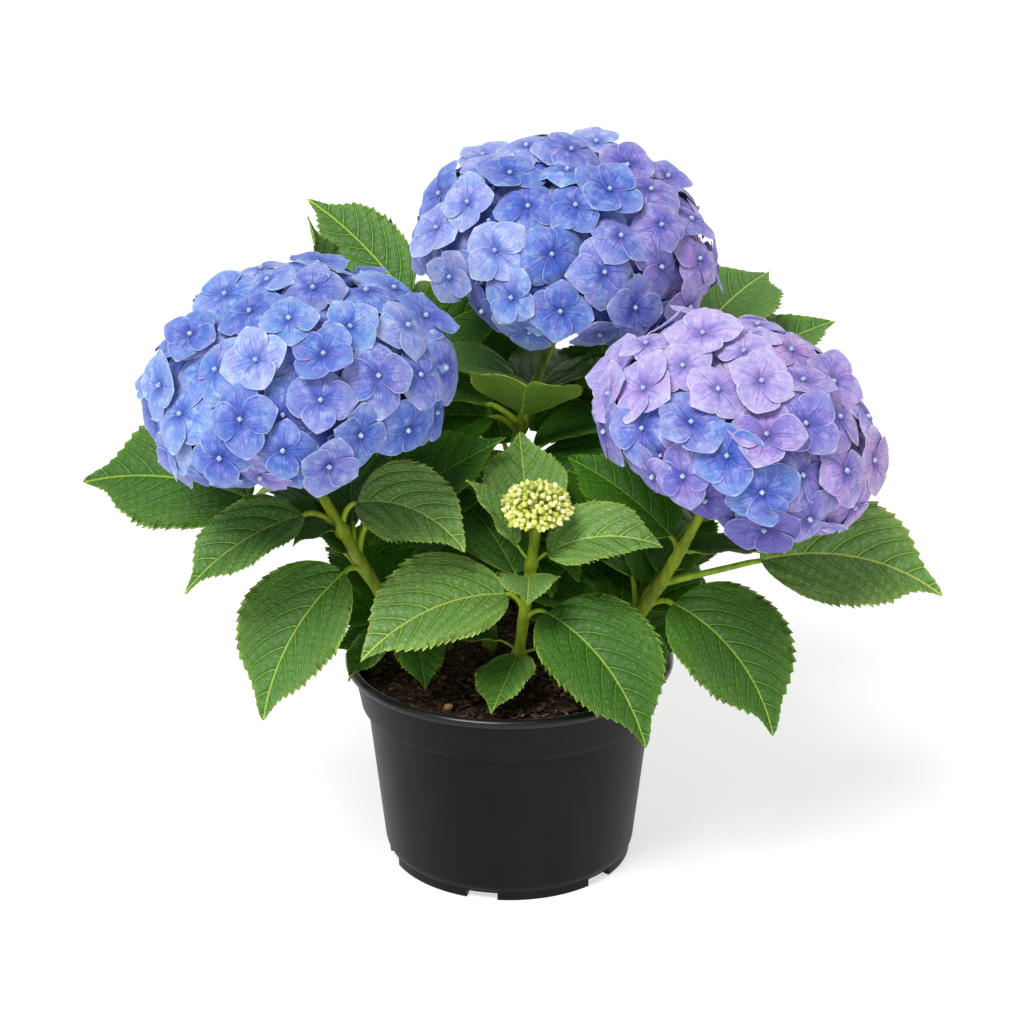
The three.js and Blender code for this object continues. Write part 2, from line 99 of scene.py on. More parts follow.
class Finish:
    """A material built from nodes around one Principled shader."""

    def __init__(self, name, constants):
        self.material = bpy.data.materials.new(name)
        self.material.use_nodes = True
        self.tree = self.material.node_tree
        self.shader = self.tree.nodes["Principled BSDF"]
        self.material.diffuse_color = constants.get("Base Color", (0.5, 0.5, 0.5, 1))
        self.wear(constants)

    def node(self, kind, settings, inputs, out=0):
        """Adds a node, gives it its settings, then the values or wires of its sockets."""
        new = self.tree.nodes.new(kind)
        for key, value in settings.items():
            setattr(new, key, value)
        for key, value in inputs.items():
            self.feed(new.inputs[key], value)
        return Wire(self, new.outputs[out])

    def feed(self, socket, value):
        if isinstance(value, Wire):
            self.tree.links.new(value.socket, socket)
        else:
            socket.default_value = value

    def wear(self, sockets):
        """Feeds the shader's own sockets."""
        for key, value in sockets.items():
            self.feed(self.shader.inputs[key], value)

    def place(self):
        return self.node("ShaderNodeTexCoord", {}, {}, "Object")

    def split(self, vector):
        """The three parts of a vector, a wire each."""
        parts = self.node("ShaderNodeSeparateXYZ", {}, {"Vector": vector}, "X").socket.node
        return [Wire(self, parts.outputs[k]) for k in ("X", "Y", "Z")]

    def chart(self):
        """The three numbers that a mesh's chart gives every point."""
        return self.split(self.node("ShaderNodeAttribute", {"attribute_name": "chart"}, {}, "Vector"))

    def stretched(self, share):
        """The piece's own space, drawn out upwards where the share is under 1."""
        return self.node("ShaderNodeMapping", {}, {"Vector": self.place(), "Scale": (1, 1, share)})

    def grain(self, scale, detail=3.0, roughness=0.55, share=1):
        """Cloudy noise from 0 to 1 in the piece's own space, drawn out upwards if asked."""
        where = self.place() if share == 1 else self.stretched(share)
        return self.node("ShaderNodeTexNoise", {},
                         {"Vector": where, "Scale": scale, "Detail": detail, "Roughness": roughness})

    def mix(self, share, first, second):
        return self.node("ShaderNodeMix", {"data_type": "RGBA"}, {0: share, 6: first, 7: second}, 2)

    def coats(self, colour, *coats):
        """Lays colours over the first, one after another, each with its share."""
        for share, over in coats:
            colour = self.mix(share, colour, over)
        return colour

    def bump(self, height, strength, distance):
        """Raises the surface by height times distance, in metres."""
        self.wear({"Normal": self.node("ShaderNodeBump", {}, {
            "Height": height, "Strength": strength, "Distance": distance})})

    def cover(self, piece):
        piece.data.materials.clear()
        piece.data.materials.append(self.material)


def shade(red, green, blue):
    """A colour from its screen values, 0 to 255, as the shader's linear one."""
    return tuple(((c / 255 + 0.055) / 1.055) ** 2.4 if c > 10 else c / 255 / 12.92
                 for c in (red, green, blue)) + (1.0,)


def arc(start, knee, end, t):
    """The point at t, 0 to 1, of a curve from start to end that sets out and arrives by the knee."""
    return (1 - t) ** 2 * start + 2 * t * (1 - t) * knee + t * t * end


def rounded(corners, steps=4):
    """A section's corners (radius, height, rounding), with each rounding drawn as a short arc."""
    line = []
    for i, (r, z, soft) in enumerate(corners):
        if not soft:
            line.append((r, z))
            continue
        here = Vector((r, z))
        ways = [Vector(corners[k][:2]) - here for k in (i - 1, i + 1)]
        a, b = (here + way.normalized() * min(soft, way.length * 0.45) for way in ways)
        line += [tuple(arc(a, here, b, k / steps)) for k in range(steps + 1)]
    return line


def start_piece():
    bpy.ops.object.select_all(action="DESELECT")


def start_edit():
    bpy.ops.object.mode_set(mode="EDIT")
    bpy.ops.mesh.select_all(action="SELECT")


def end_edit():
    """Turns every face outwards and closes the edit."""
    bpy.ops.mesh.select_all(action="SELECT")
    bpy.ops.mesh.normals_make_consistent(inside=False)
    bpy.ops.object.mode_set(mode="OBJECT")


def ring_up(name, section, sides):
    """Draws a section (radius, height), in millimetres, round the Z axis: a disc, extruded from
    ring to ring and so closed flat at both ends."""
    start_piece()
    r, z = section[0]
    bpy.ops.mesh.primitive_circle_add(vertices=sides, radius=r * MM, fill_type="NOTHING",
                                      location=(0, 0, z * MM))
    piece = bpy.context.object
    piece.name = name
    bpy.ops.object.transform_apply(location=True, rotation=True, scale=True)
    start_edit()
    bpy.ops.mesh.edge_face_add()
    bpy.ops.mesh.select_mode(type="EDGE")
    for next_r, next_z in section[1:]:
        bpy.ops.mesh.extrude_region_move(TRANSFORM_OT_translate={"value": (0, 0, (next_z - z) * MM)})
        bpy.ops.transform.resize(value=(next_r / r, next_r / r, 1), center_override=(0, 0, next_z * MM))
        r, z = next_r, next_z
    end_edit()
    return piece


pot_low, pot_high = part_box("pot")
LIP, RIM = (pot_high.x - pot_low.x) / 2 / MM, pot_high.z / MM  # radius and height, in millimetres
STEP = RIM - 28.5  # height of the step under the collar
FOOT, FOOT_EDGE = 6, 71  # height and radius of the foot ring
pot_section = rounded([
    (17, 0, 0), (17, FOOT, 1), (62, FOOT, 1), (62, 0, 0.5), (FOOT_EDGE, 0, 0.6),
    (FOOT_EDGE, 5.4, 0.4), (73, 8.2, 2.6), (82.4, STEP - 1.6, 0.5), (82.7, STEP - 0.9, 0.3),
    (85.9, STEP - 0.2, 0.9), (87.2, STEP + 7, 2), (90.2, RIM - 7.4, 1.2), (90.6, RIM - 5.2, 0.5),
    (LIP - 2.2, RIM - 5.4, 1), (LIP - 0.1, RIM - 4.4, 1.1), (LIP - 0.2, RIM - 1.6, 1.4),
    (LIP - 2.2, RIM, 1.1), (LIP - 4.6, RIM - 0.4, 1.2), (LIP - 6.2, RIM - 3.6, 1),
    (86.5, RIM - 8, 1), (83.2, STEP, 0.8), (80.5, STEP - 3, 0.8), (71.2, FOOT + 2.4, 1),
    (3, FOOT + 2.4, 0),
])
pot = ring_up("pot_shell", pot_section, 180)

NOTCHES, NOTCH_START = 6, math.radians(-102.8)
NOTCH_DEPTH, NOTCH_WIDTH, NOTCH_HEIGHT = 30, 18, 4.6  # in millimetres, the depth across the ring
start_piece()
cutters = []
for i in range(NOTCHES):
    angle = NOTCH_START + i * math.tau / NOTCHES
    reach = FOOT_EDGE * MM
    bpy.ops.mesh.primitive_cube_add(
        size=MM, location=(reach * math.cos(angle), reach * math.sin(angle), 0),
        rotation=(0, 0, angle), scale=(NOTCH_DEPTH, NOTCH_WIDTH, 2 * NOTCH_HEIGHT))
    cutters.append(bpy.context.object)
for cutter in cutters:
    cutter.select_set(True)
bpy.ops.object.join()
cutter = bpy.context.object
bpy.ops.object.transform_apply(location=True, rotation=True, scale=True)
start_piece()
bpy.context.view_layer.objects.active = pot
pot.select_set(True)
notch = pot.modifiers.new("notches", "BOOLEAN")
notch.operation, notch.solver, notch.object = "DIFFERENCE", "EXACT", cutter
bpy.ops.object.modifier_apply(modifier=notch.name)
bpy.data.objects.remove(cutter)
bpy.ops.object.shade_smooth_by_angle(angle=math.radians(32))

plastic = Finish("moulded_black_plastic", {"Base Color": shade(20, 20, 23), "Specular IOR Level": 0.12,
                                           "Coat Roughness": 0.24})
cloud = plastic.grain(16, 4)
speck = plastic.grain(900, 2)
flow = plastic.grain(30, 3, share=0.12)
lip = plastic.split(plastic.place())[2].rise((RIM - 5.5) * MM, (RIM - 3.5) * MM)
plastic.wear({
    "Base Color": plastic.mix(cloud.rise(0.35, 0.75) * 0.6, shade(8, 8, 12), shade(15, 15, 19)),
    "Roughness": 0.38 + cloud * 0.12 + speck * 0.08,
    "Coat Weight": 0.06 + flow.rise(0.4, 0.7) * 0.06 + lip * 0.5,
})
plastic.bump(speck * 0.5 + flow * 0.5, 0.35, 0.0003)
plastic.cover(pot)
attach(pot, "root")
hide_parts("pot")


# ---------------------------------------------------------------------------------------------
# Soil. Moist bark and peat mix, filled to just under the rim: one block, covered by loose chips
# of bark in low lumps, with pale wood fibres and one small pebble among them.
# ---------------------------------------------------------------------------------------------
class Heap:
    """Many small shapes gathered into one mesh, with a material to a face and a map to a point."""

    def __init__(self):
        self.points, self.corners, self.counts, self.slots, self.maps = [], [], [], [], []
        self.size = 0

    def add(self, points, faces, slots, chart=None):
        """Adds a shape. Each array of faces has a row of point numbers a face; slots is one for each
        array, or one number for all."""
        for corners, slot in zip(faces, np.broadcast_to(slots, len(faces))):
            self.corners.append((corners + self.size).ravel())
            self.counts.append(np.full(len(corners), corners.shape[1]))
            self.slots.append(np.full(len(corners), slot))
        self.points.append(points)
        self.maps.append(np.zeros((len(points), 3)) if chart is None else chart)
        self.size += len(points)

    def piece(self, name, finishes):
        mesh = bpy.data.meshes.new(name)
        points, corners, counts, slots, maps = (
            np.concatenate(rows) for rows in (self.points, self.corners, self.counts, self.slots, self.maps))
        mesh.vertices.add(len(points))
        mesh.loops.add(len(corners))
        mesh.polygons.add(len(counts))
        mesh.vertices.foreach_set("co", points.astype(np.float32).ravel())
        mesh.loops.foreach_set("vertex_index", corners.astype(np.int32))
        mesh.polygons.foreach_set("loop_start", (np.cumsum(counts) - counts).astype(np.int32))
        mesh.polygons.foreach_set("material_index", slots.astype(np.int32))
        mesh.polygons.foreach_set("use_smooth", np.ones(len(counts), bool))
        mesh.update(calc_edges=True)
        field = mesh.attributes.new("chart", "FLOAT_VECTOR", "POINT")
        field.data.foreach_set("vector", maps.astype(np.float32).ravel())
        for finish in finishes:
            mesh.materials.append(finish.material)
        piece = bpy.data.objects.new(name, mesh)
        bpy.context.scene.collection.objects.link(piece)
        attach(piece, "root")
        return piece


def unit(v):
    return v / np.linalg.norm(v, axis=-1, keepdims=True)


def wrapped(rings, first, last):
    """A closed round body from its rings of points and a point at each end."""
    n, sides = rings.shape[:2]
    k, j = np.meshgrid(np.arange(n - 1), np.arange(sides), indexing="ij")
    nxt = (j + 1) % sides
    quads = np.stack([k * sides + j, (k + 1) * sides + j, (k + 1) * sides + nxt, k * sides + nxt], -1)
    j, nxt = j[0], nxt[0]
    low, high, top = np.full(sides, n * sides), np.full(sides, n * sides + 1), (n - 1) * sides
    caps = np.concatenate([np.stack([low, j, nxt], -1), np.stack([high, top + nxt, top + j], -1)])
    return np.concatenate([rings.reshape(-1, 3), [first], [last]]), (quads.reshape(-1, 4), caps)


def tube(line, radii, sides):
    """A round body along a line of points, closed with a point at each end."""
    line, radii = np.asarray(line, float), np.asarray(radii, float)
    along = unit(np.gradient(line, axis=0))
    ref = np.where(np.abs(along[:, 2:3]) > 0.8, [[0.0, 1.0, 0.0]], [[0.0, 0.0, 1.0]])
    ref = ref[:1] if abs(along[0, 2]) > 0.8 else ref[-1:]
    side = unit(np.cross(along, ref))
    up = np.cross(side, along)
    turn = (np.arange(sides) / sides * math.tau)[None, :, None]
    rings = line[:, None] + (np.cos(turn) * side[:, None] + np.sin(turn) * up[:, None]) * radii[:, None, None]
    return wrapped(rings, line[0], line[-1])


def any_way(rng):
    """A random turn, as a matrix."""
    a, b, c, d = unit(rng.normal(size=4))
    return np.array([[1 - 2 * (c * c + d * d), 2 * (b * c - d * a), 2 * (b * d + c * a)],
                     [2 * (b * c + d * a), 1 - 2 * (b * b + d * d), 2 * (c * d - b * a)],
                     [2 * (b * d - c * a), 2 * (c * d + b * a), 1 - 2 * (b * b + c * c)]])


SOIL_LEVEL, SOIL_EDGE = 116, 85.9  # height of the cover and radius of the top, in millimetres
SUNK_UNDER = 1.5  # how far the block's own top lies under its cover of chips


def soil_height(x, y):
    """Where the lumpy cover lies: a little higher at the middle, with clods and pits."""
    clods, pits = noise.noise(Vector((x * 38, y * 38, 0.3))), noise.noise(Vector((x * 120, y * 120, 4.1)))
    middle = 1 - (x * x + y * y) / (SOIL_EDGE * MM) ** 2
    return (SOIL_LEVEL + clods * 2.2 + pits * 1.5 + 1.2 * middle - 0.6) * MM


soil = ring_up("soil_block", [(71, FOOT + 3), (79.6, STEP - 4), (82.6, STEP + 0.5),
                              (SOIL_EDGE, SOIL_LEVEL - SUNK_UNDER)], 120)
bpy.ops.object.shade_smooth()


def soil_finish(name, dark, light, rough=0.9):
    finish = Finish(name, {"Base Color": dark, "Specular IOR Level": 0.25})
    crumbs = finish.grain(420, 5, 0.7)
    damp = finish.grain(60, 3)
    finish.wear({"Base Color": finish.mix(crumbs.rise(0.35, 0.7), dark, light),
                 "Roughness": rough - damp.rise(0.45, 0.7) * 0.25})
    finish.bump(crumbs + finish.grain(1500, 3) * 0.4, 0.9, 0.0014)
    return finish


peat = soil_finish("damp_peat", shade(34, 23, 17), shade(66, 47, 35))
peat.cover(soil)
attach(soil, "root")
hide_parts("soil")

bark_finishes = [soil_finish("bark_dark", shade(40, 27, 20), shade(74, 52, 38)),
                 soil_finish("bark_brown", shade(70, 47, 32), shade(112, 80, 56)),
                 soil_finish("bark_tan", shade(120, 90, 62), shade(172, 140, 104)),
                 soil_finish("pebble", shade(170, 128, 84), shade(214, 178, 132), 0.7)]
PEBBLE = 3  # its place in the list above
CHIPS, FIBRES = 2300, 230
crumb_shape = np.array([[x, y, z] for x in (-1, 1) for y in (-1, 1) for z in (-1, 1)], float)
crumb_faces = np.array([[0, 1, 3, 2], [4, 6, 7, 5], [0, 4, 5, 1], [2, 3, 7, 6], [0, 2, 6, 4], [1, 5, 7, 3]])


def soil_spot(share, rng):
    """A random place on the soil, within this share of its radius."""
    r, a = SOIL_EDGE * MM * math.sqrt(rng.random()) * share, rng.random() * math.tau
    return r * math.cos(a), r * math.sin(a)


rng = np.random.default_rng(7)
mulch = Heap()
for i in range(CHIPS):
    x, y = soil_spot(0.985, rng)
    long = rng.gamma(2.2, 0.85) + 0.8
    size = np.array([long, long * rng.uniform(0.3, 0.8), rng.uniform(0.3, 1.1)]) * 0.72 * MM
    shape = crumb_shape * rng.uniform(0.55, 1.0, (8, 1)) * rng.uniform(0.75, 1.0, (8, 3)) * size
    tilt = any_way(rng) if rng.random() < 0.4 else np.eye(3)
    a = rng.random() * math.tau
    flat = np.array([[math.cos(a), -math.sin(a), 0], [math.sin(a), math.cos(a), 0], [0, 0, 1]])
    lift = soil_height(x, y) + rng.uniform(-0.2, 0.9) * MM
    kind = rng.choice([0, 0, 1, 1, 1, 2] if long < 3.4 else [0, 1, 1])
    mulch.add(shape @ (flat @ tilt).T + [x, y, lift], [crumb_faces], kind)
for i in range(FIBRES):
    x, y = soil_spot(0.93, rng)
    a, length = rng.random() * math.tau, rng.uniform(3, 9) * MM
    t = np.linspace(-0.5, 0.5, 5)
    sag = rng.uniform(-0.25, 0.25) * length * (t ** 2 * 4)
    px = x + t * length * math.cos(a) - sag * math.sin(a)
    py = y + t * length * math.sin(a) + sag * math.cos(a)
    pz = soil_height(x, y) + (0.7 + rng.uniform(0, 1.2) * np.abs(t) * 2) * MM
    fibre = tube(np.stack([px, py, pz], -1), np.array([0.12, 0.28, 0.3, 0.26, 0.1]) * MM, 4)
    mulch.add(*fibre, rng.choice([1, 2]))
span = np.linspace(-1, 1, 9)
lie = span[:, None] * [2.5, 0.5, 0.3] + [-34, -62, SOIL_LEVEL + 1.4]
mulch.add(*tube(lie * MM, 2.1 * MM * np.sqrt(1 - 0.93 * span ** 2), 12), PEBBLE)
bark = mulch.piece("bark_chips", bark_finishes)

# ---------------------------------------------------------------------------------------------
# Shoots. Six green woody stems that leave the soil, bend outwards and taper to their tips, each
# swollen a little where a leaf stalk leaves it. Each is a round rod drawn along its curve, with
# shallow ribs and scars raised on it.
# ---------------------------------------------------------------------------------------------
# A shoot runs from its foot past its knee to its top. A leaf is: place on the shoot, heading (0 is
# right, 90 is back), stalk length, stalk rise, blade pitch at its base and at its tip, blade
# length, then its roll and its width share where they aren't the usual ones. Millimetres, degrees.
SHOOTS = {
    "front": dict(foot=(3, -30, 116), knee=(8, -46, 165), top=(15, -55, 222), radius=3.4, leaves=[
        (0.50, 205, 18, 50, 12, -44, 95, -25, 0.7), (0.45, -42, 20, 30, -9, -70, 98, 18, 0.72),
        (0.72, -92, 8, 20, 22, -25, 37, 0, 0.95), (0.22, -107, 5, 20, -15, -18, 50, 8, 0.7),
        (0.80, 96, 24, 62, 28, 38, 62, 0, 0.8), (0.80, 186, 14, 55, 64, 46, 48, -26, 0.5),
        (0.78, -13, 13, 46, 36, -20, 68, 30), (0.58, 120, 16, 45, 38, 0, 80),
        (0.22, -10, 14, 20, 5, -40, 40, 0, 0.7), (0.24, 172, 14, 30, 15, -30, 34)]),
    "left": dict(foot=(-45, -5, 116), knee=(-74, -20, 166), top=(-105, -44, 242), radius=4.2, leaves=[
        (0.80, 160, 56, 12, 16, -20, 108, -45, 0.68), (0.80, 204, 26, 30, -6, -48, 80, -22, 0.59),
        (0.42, 214, 37, 42, -30, -80, 97, -20, 0.74), (0.80, -20, 20, 62, 18, -54, 72, 38, 0.72),
        (0.66, 10, 32, 66, 30, 26, 80, 28), (0.42, 25, 24, 45, 10, -30, 58, 10),
        (0.58, 135, 26, 45, 38, 0, 80), (0.80, 215, 6, 30, 10, -30, 28, 0, 0.9),
        (0.28, 135, 16, 45, 38, 0, 58), (0.18, 222, 12, 40, 0, -50, 44, 0, 0.7),
        (0.20, -78, 12, 30, 5, -50, 44, 0, 0.7)]),
    "right": dict(foot=(50, -5, 116), knee=(80, -28, 162), top=(106, -50, 232), radius=4.2, leaves=[
        (0.30, -35, 38, 38, -12, -76, 97, 22, 0.75), (0.60, 3, 57, 13, 14, -40, 111, 45, 0.64),
        (0.62, 144, 28, 100, 38, 10, 78, -24, 0.7), (0.30, 160, 24, 35, 15, -25, 62, -10),
        (0.38, 60, 20, 45, 36, 0, 80), (0.80, 70, 20, 20, 0, -40, 76),
        (0.48, 62, 22, 30, 10, -35, 60), (0.38, 95, 26, 40, 20, -30, 76),
        (0.22, -50, 10, 35, 0, -50, 34, 0, 0.7), (0.72, 0, 10, 44, 10, -14, 46, 0, 0.7)]),
    "centre": dict(foot=(-12, 22, 116), knee=(-12, 42, 209), top=(24, 68, 288), radius=4.4, leaves=[
        (0.84, 168, 14, 34, 18, -12, 72), (0.72, -87, 15, 48, 46, 19, 70, -9, 0.95),
        (0.72, 176, 24, 35, 15, -30, 88), (0.72, 64, 24, 40, 20, -25, 90),
        (0.56, 6, 22, 48, 32, -24, 84), (0.56, 190, 22, 40, 14, -36, 76),
        (0.58, 105, 16, 45, 38, 0, 80), (0.30, -20, 20, 40, 16, -36, 66),
        (0.38, 274, 16, 30, 0, -55, 44), (0.38, -48, 18, 30, 0, -40, 60),
        (0.16, -122, 14, 30, -10, -60, 42)]),
    "back_left": dict(foot=(-28, 38, 116), knee=(-46, 80, 196), top=(-58, 120, 276), radius=3.8, leaves=[
        (0.96, 139, 32, 80, 42, 17, 96, -35, 0.47), (0.80, 160, 44, 48, 40, 82, 85, 0, 0.6),
        (0.96, 60, 22, 40, 20, -35, 84), (0.74, 110, 26, 35, 10, -40, 98),
        (0.50, 176, 28, 30, 5, -40, 98), (0.28, 118, 26, 30, 0, -45, 90),
        (0.30, 200, 22, 30, 0, -50, 62), (0.50, 70, 24, 36, 5, -40, 84)]),
    "back_right": dict(foot=(28, 42, 116), knee=(62, 84, 190), top=(104, 112, 262), radius=3.8, leaves=[
        (0.96, 56, 28, 40, 23, 3, 92, 10, 0.76), (0.84, 35, 48, 17, 14, 6, 93, 7),
        (0.96, 125, 22, 40, 20, -35, 84), (0.74, 75, 26, 35, 10, -40, 98),
        (0.50, 15, 28, 30, 5, -40, 98), (0.50, 130, 24, 30, 5, -40, 86),
        (0.28, 62, 26, 30, 0, -45, 90), (0.30, 335, 22, 30, 0, -50, 64),
        (0.74, 150, 24, 35, 10, -40, 70)]),
}


def shoot_point(shoot, t):
    """The point of a shoot at t, 0 at the soil and 1 at its tip, in metres."""
    foot, knee, top = (np.array(shoot[k], float) * MM for k in ("foot", "knee", "top"))
    return arc(foot, knee, top, np.asarray(t, float)[..., None])


def shoot_way(shoot, t):
    foot, knee, top = (np.array(shoot[k], float) for k in ("foot", "knee", "top"))
    return unit((1 - t) * (knee - foot) + t * (top - knee))


def stem_finish(name, pale, deep, scar):
    """Green skin with long pale streaks and small brown corky specks."""
    finish = Finish(name, {"Base Color": pale, "Specular IOR Level": 0.4, "Coat Roughness": 0.3})
    streak = finish.grain(260, 3, share=0.18)
    specks = finish.node("ShaderNodeTexVoronoi", {}, {"Vector": finish.stretched(0.45), "Scale": 520},
                         "Distance")
    patch = finish.grain(70, 3)
    corky = specks.rise(0.3, 0.14) * patch.rise(0.4, 0.6)
    skin = finish.mix(streak.rise(0.35, 0.7), pale, deep)
    finish.wear({"Base Color": finish.mix(corky * 0.8 + patch.rise(0.62, 0.8) * 0.25, skin, scar),
                 "Roughness": 0.42 + streak * 0.15 + corky * 0.2})
    finish.bump(streak * 0.6 + corky, 0.5, 0.0003)
    return finish


green_wood = stem_finish("green_wood", shade(138, 158, 14), shade(98, 124, 4), shade(122, 88, 22))
STEM_TIP = 2.7  # radius of every shoot at its tip, in millimetres
SUNK = 8  # how far a shoot goes on under the soil
for name, shoot in SHOOTS.items():
    start_piece()
    bpy.ops.curve.primitive_nurbs_path_add()
    rod = bpy.context.object
    rod.name = f"shoot_{name}"
    curve = rod.data
    curve.splines.clear()
    t = np.linspace(0, 1, 40)
    way = shoot_way(shoot, 0.0)
    line = np.concatenate([shoot_point(shoot, 0.0)[None] - way * SUNK * MM, shoot_point(shoot, t)])
    t = np.concatenate([[0.0], t])
    radii = (shoot["radius"] * (1 - t) + STEM_TIP * t) * MM
    for row in shoot["leaves"]:
        radii += 0.5 * MM * np.exp(-((t - row[0]) / 0.022) ** 2)
    spline = curve.splines.new("POLY")
    spline.points.add(len(line) - 1)
    for point, at, radius in zip(spline.points, line, radii):
        point.co = (*at, 1)
        point.radius = radius
    curve.dimensions = "3D"
    curve.bevel_depth = 1.0
    curve.bevel_resolution = 6
    curve.use_fill_caps = True
    rod.location = (0, 0, 0)
    rod.select_set(True)
    bpy.context.view_layer.objects.active = rod
    bpy.ops.object.convert(target="MESH")
    rod = bpy.context.object
    start_edit()
    bpy.ops.mesh.remove_doubles(threshold=1e-6)
    bpy.ops.mesh.subdivide(number_cuts=1)
    end_edit()
    normals = [v.normal.copy() for v in rod.data.vertices]
    for v, n in zip(rod.data.vertices, normals):
        ribs = noise.noise(Vector((v.co.x * 420, v.co.y * 420, v.co.z * 46)))
        scars = max(0.0, noise.noise(v.co * 300) - 0.25)
        v.co += n * (ribs * 0.28 + scars * 0.7) * MM
    green_wood.cover(rod)
    bpy.ops.object.shade_smooth()
    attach(rod, "root")
    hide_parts(f"stem_{name}")

# ---------------------------------------------------------------------------------------------
# Leaves. Broad toothed blades, drawn out to a point, quilted between arching side veins and
# folded a little along a sunken midrib. Each hangs on a round stalk that clasps its shoot.
# ---------------------------------------------------------------------------------------------
TEETH, FIRST_TOOTH, TOOTHED = 22, 0.045, 0.925  # where the teeth start, and their share of the length
TOOTH_PEAK = 0.8  # where in its own length a tooth is highest
BLADE_ROWS = np.concatenate([[0.008, 0.025],
                             np.ravel([[FIRST_TOOTH + (k + f) * TOOTHED / TEETH for f in (0.0, TOOTH_PEAK)]
                                       for k in range(TEETH)]), [0.974, 0.99]])
HALF_COLUMNS = [0.03, 0.11, 0.2, 0.29, 0.38, 0.47, 0.56, 0.65, 0.74, 0.82, 0.965, 1]
BLADE_COLUMNS = np.array([-v for v in HALF_COLUMNS[::-1]] + [0] + HALF_COLUMNS)


def sheet_faces(rows, columns):
    """Faces of a thin closed sheet: a point, rows of columns, a point, on top and underneath.
    Both sides share the outer columns. Returns the top quads and tips, then those underneath."""
    first, last = 0, 1 + rows * columns + rows * (columns - 2)
    top = 1 + np.arange(rows * columns).reshape(rows, columns)
    under = top.copy()
    under[:, 1:-1] = 1 + rows * columns + np.arange(rows * (columns - 2)).reshape(rows, columns - 2)

    def quads(g):
        return np.stack([g[:-1, :-1], g[1:, :-1], g[1:, 1:], g[:-1, 1:]], -1).reshape(-1, 4)

    def tips(g):
        n = columns - 1
        return np.concatenate([np.stack([np.full(n, first), g[0, :-1], g[0, 1:]], -1),
                               np.stack([g[-1, :-1], np.full(n, last), g[-1, 1:]], -1)])

    return quads(top), tips(top), quads(under)[:, [0, 3, 2, 1]], tips(under)[:, ::-1]


def sheet_points(first, top, under, last):
    """The points of such a sheet, or their chart, in the order that its faces count them."""
    return np.concatenate([[first], top.reshape(-1, 3), under[:, 1:-1].reshape(-1, 3), [last]])


blade_faces = sheet_faces(len(BLADE_ROWS), len(BLADE_COLUMNS))


WIDEST = 0.42  # where a blade is widest, as a share of its length
DRAWN_FROM, DRAWN_OVER, DRAWN_IN = 0.67, 0.21, 0.37  # how its end is drawn out to a point


def half_width(u):
    """Half width along a blade: 0 at the base and the tip, 1 at the widest place."""
    k = np.clip((u - WIDEST) / (1 - WIDEST), 0, 1)
    low = np.sin(np.pi / 2 * (np.clip(u, 0, WIDEST) / WIDEST) ** 0.62) ** 0.9
    high = (1 - k ** 1.75) * (1 - 0.1 * k)
    drawn = np.clip((u - DRAWN_FROM) / DRAWN_OVER, 0, 1)
    return np.where(u < WIDEST, low, high) * (1 - DRAWN_IN * drawn * drawn * (3 - 2 * drawn))


USUAL_SHARE = 0.68  # a blade's width as a share of its length


class Leaf:
    """Where a leaf of the plan lies: its stalk's foot, its blade's base, and its frame along."""

    def __init__(self, shoot, t, heading, stalk, rise, pitch0, pitch1, length, roll=0, share=USUAL_SHARE):
        self.pitch0, self.pitch1, self.share = pitch0, pitch1, share
        self.length, self.stalk = length * MM, stalk * MM
        self.heading, self.rise, self.roll = math.radians(heading), math.radians(rise), math.radians(roll)
        self.start = shoot_point(shoot, t)
        self.base = self.start + self.stalk * self.step(self.rise)
        self.side = np.array([-math.sin(self.heading), math.cos(self.heading), 0])

    def step(self, pitch):
        pitch = np.asarray(pitch)[..., None]
        return np.concatenate([np.cos(pitch) * math.cos(self.heading),
                               np.cos(pitch) * math.sin(self.heading), np.sin(pitch)], -1)

    def pitch(self, u):
        return np.radians(self.pitch0 + (self.pitch1 - self.pitch0) * np.asarray(u))

    def midrib(self, u):
        fine = np.linspace(0, 1, 201)
        way = self.step(self.pitch((fine[1:] + fine[:-1]) / 2)) * self.length / 200
        line = np.concatenate([[self.base], self.base + np.cumsum(way, axis=0)])
        return np.stack([np.interp(u, fine, line[:, k]) for k in range(3)], -1)

    def frame(self, u):
        up = np.cross(self.step(self.pitch(u)), self.side)
        s = self.side * math.cos(self.roll) + up * math.sin(self.roll)
        n = up * math.cos(self.roll) - self.side * math.sin(self.roll)
        return s, n


VEIN_GAP = 13.5 * MM  # from one side vein to the next
VEIN_LEAN = (0.24, 0.4)  # how the side veins run on towards the tip, straight and arching
VEIN_STEP = 0.3  # how far the left half's veins are shifted from the right half's
FOLD = math.radians(15)  # how far each half of a blade is raised from the midrib


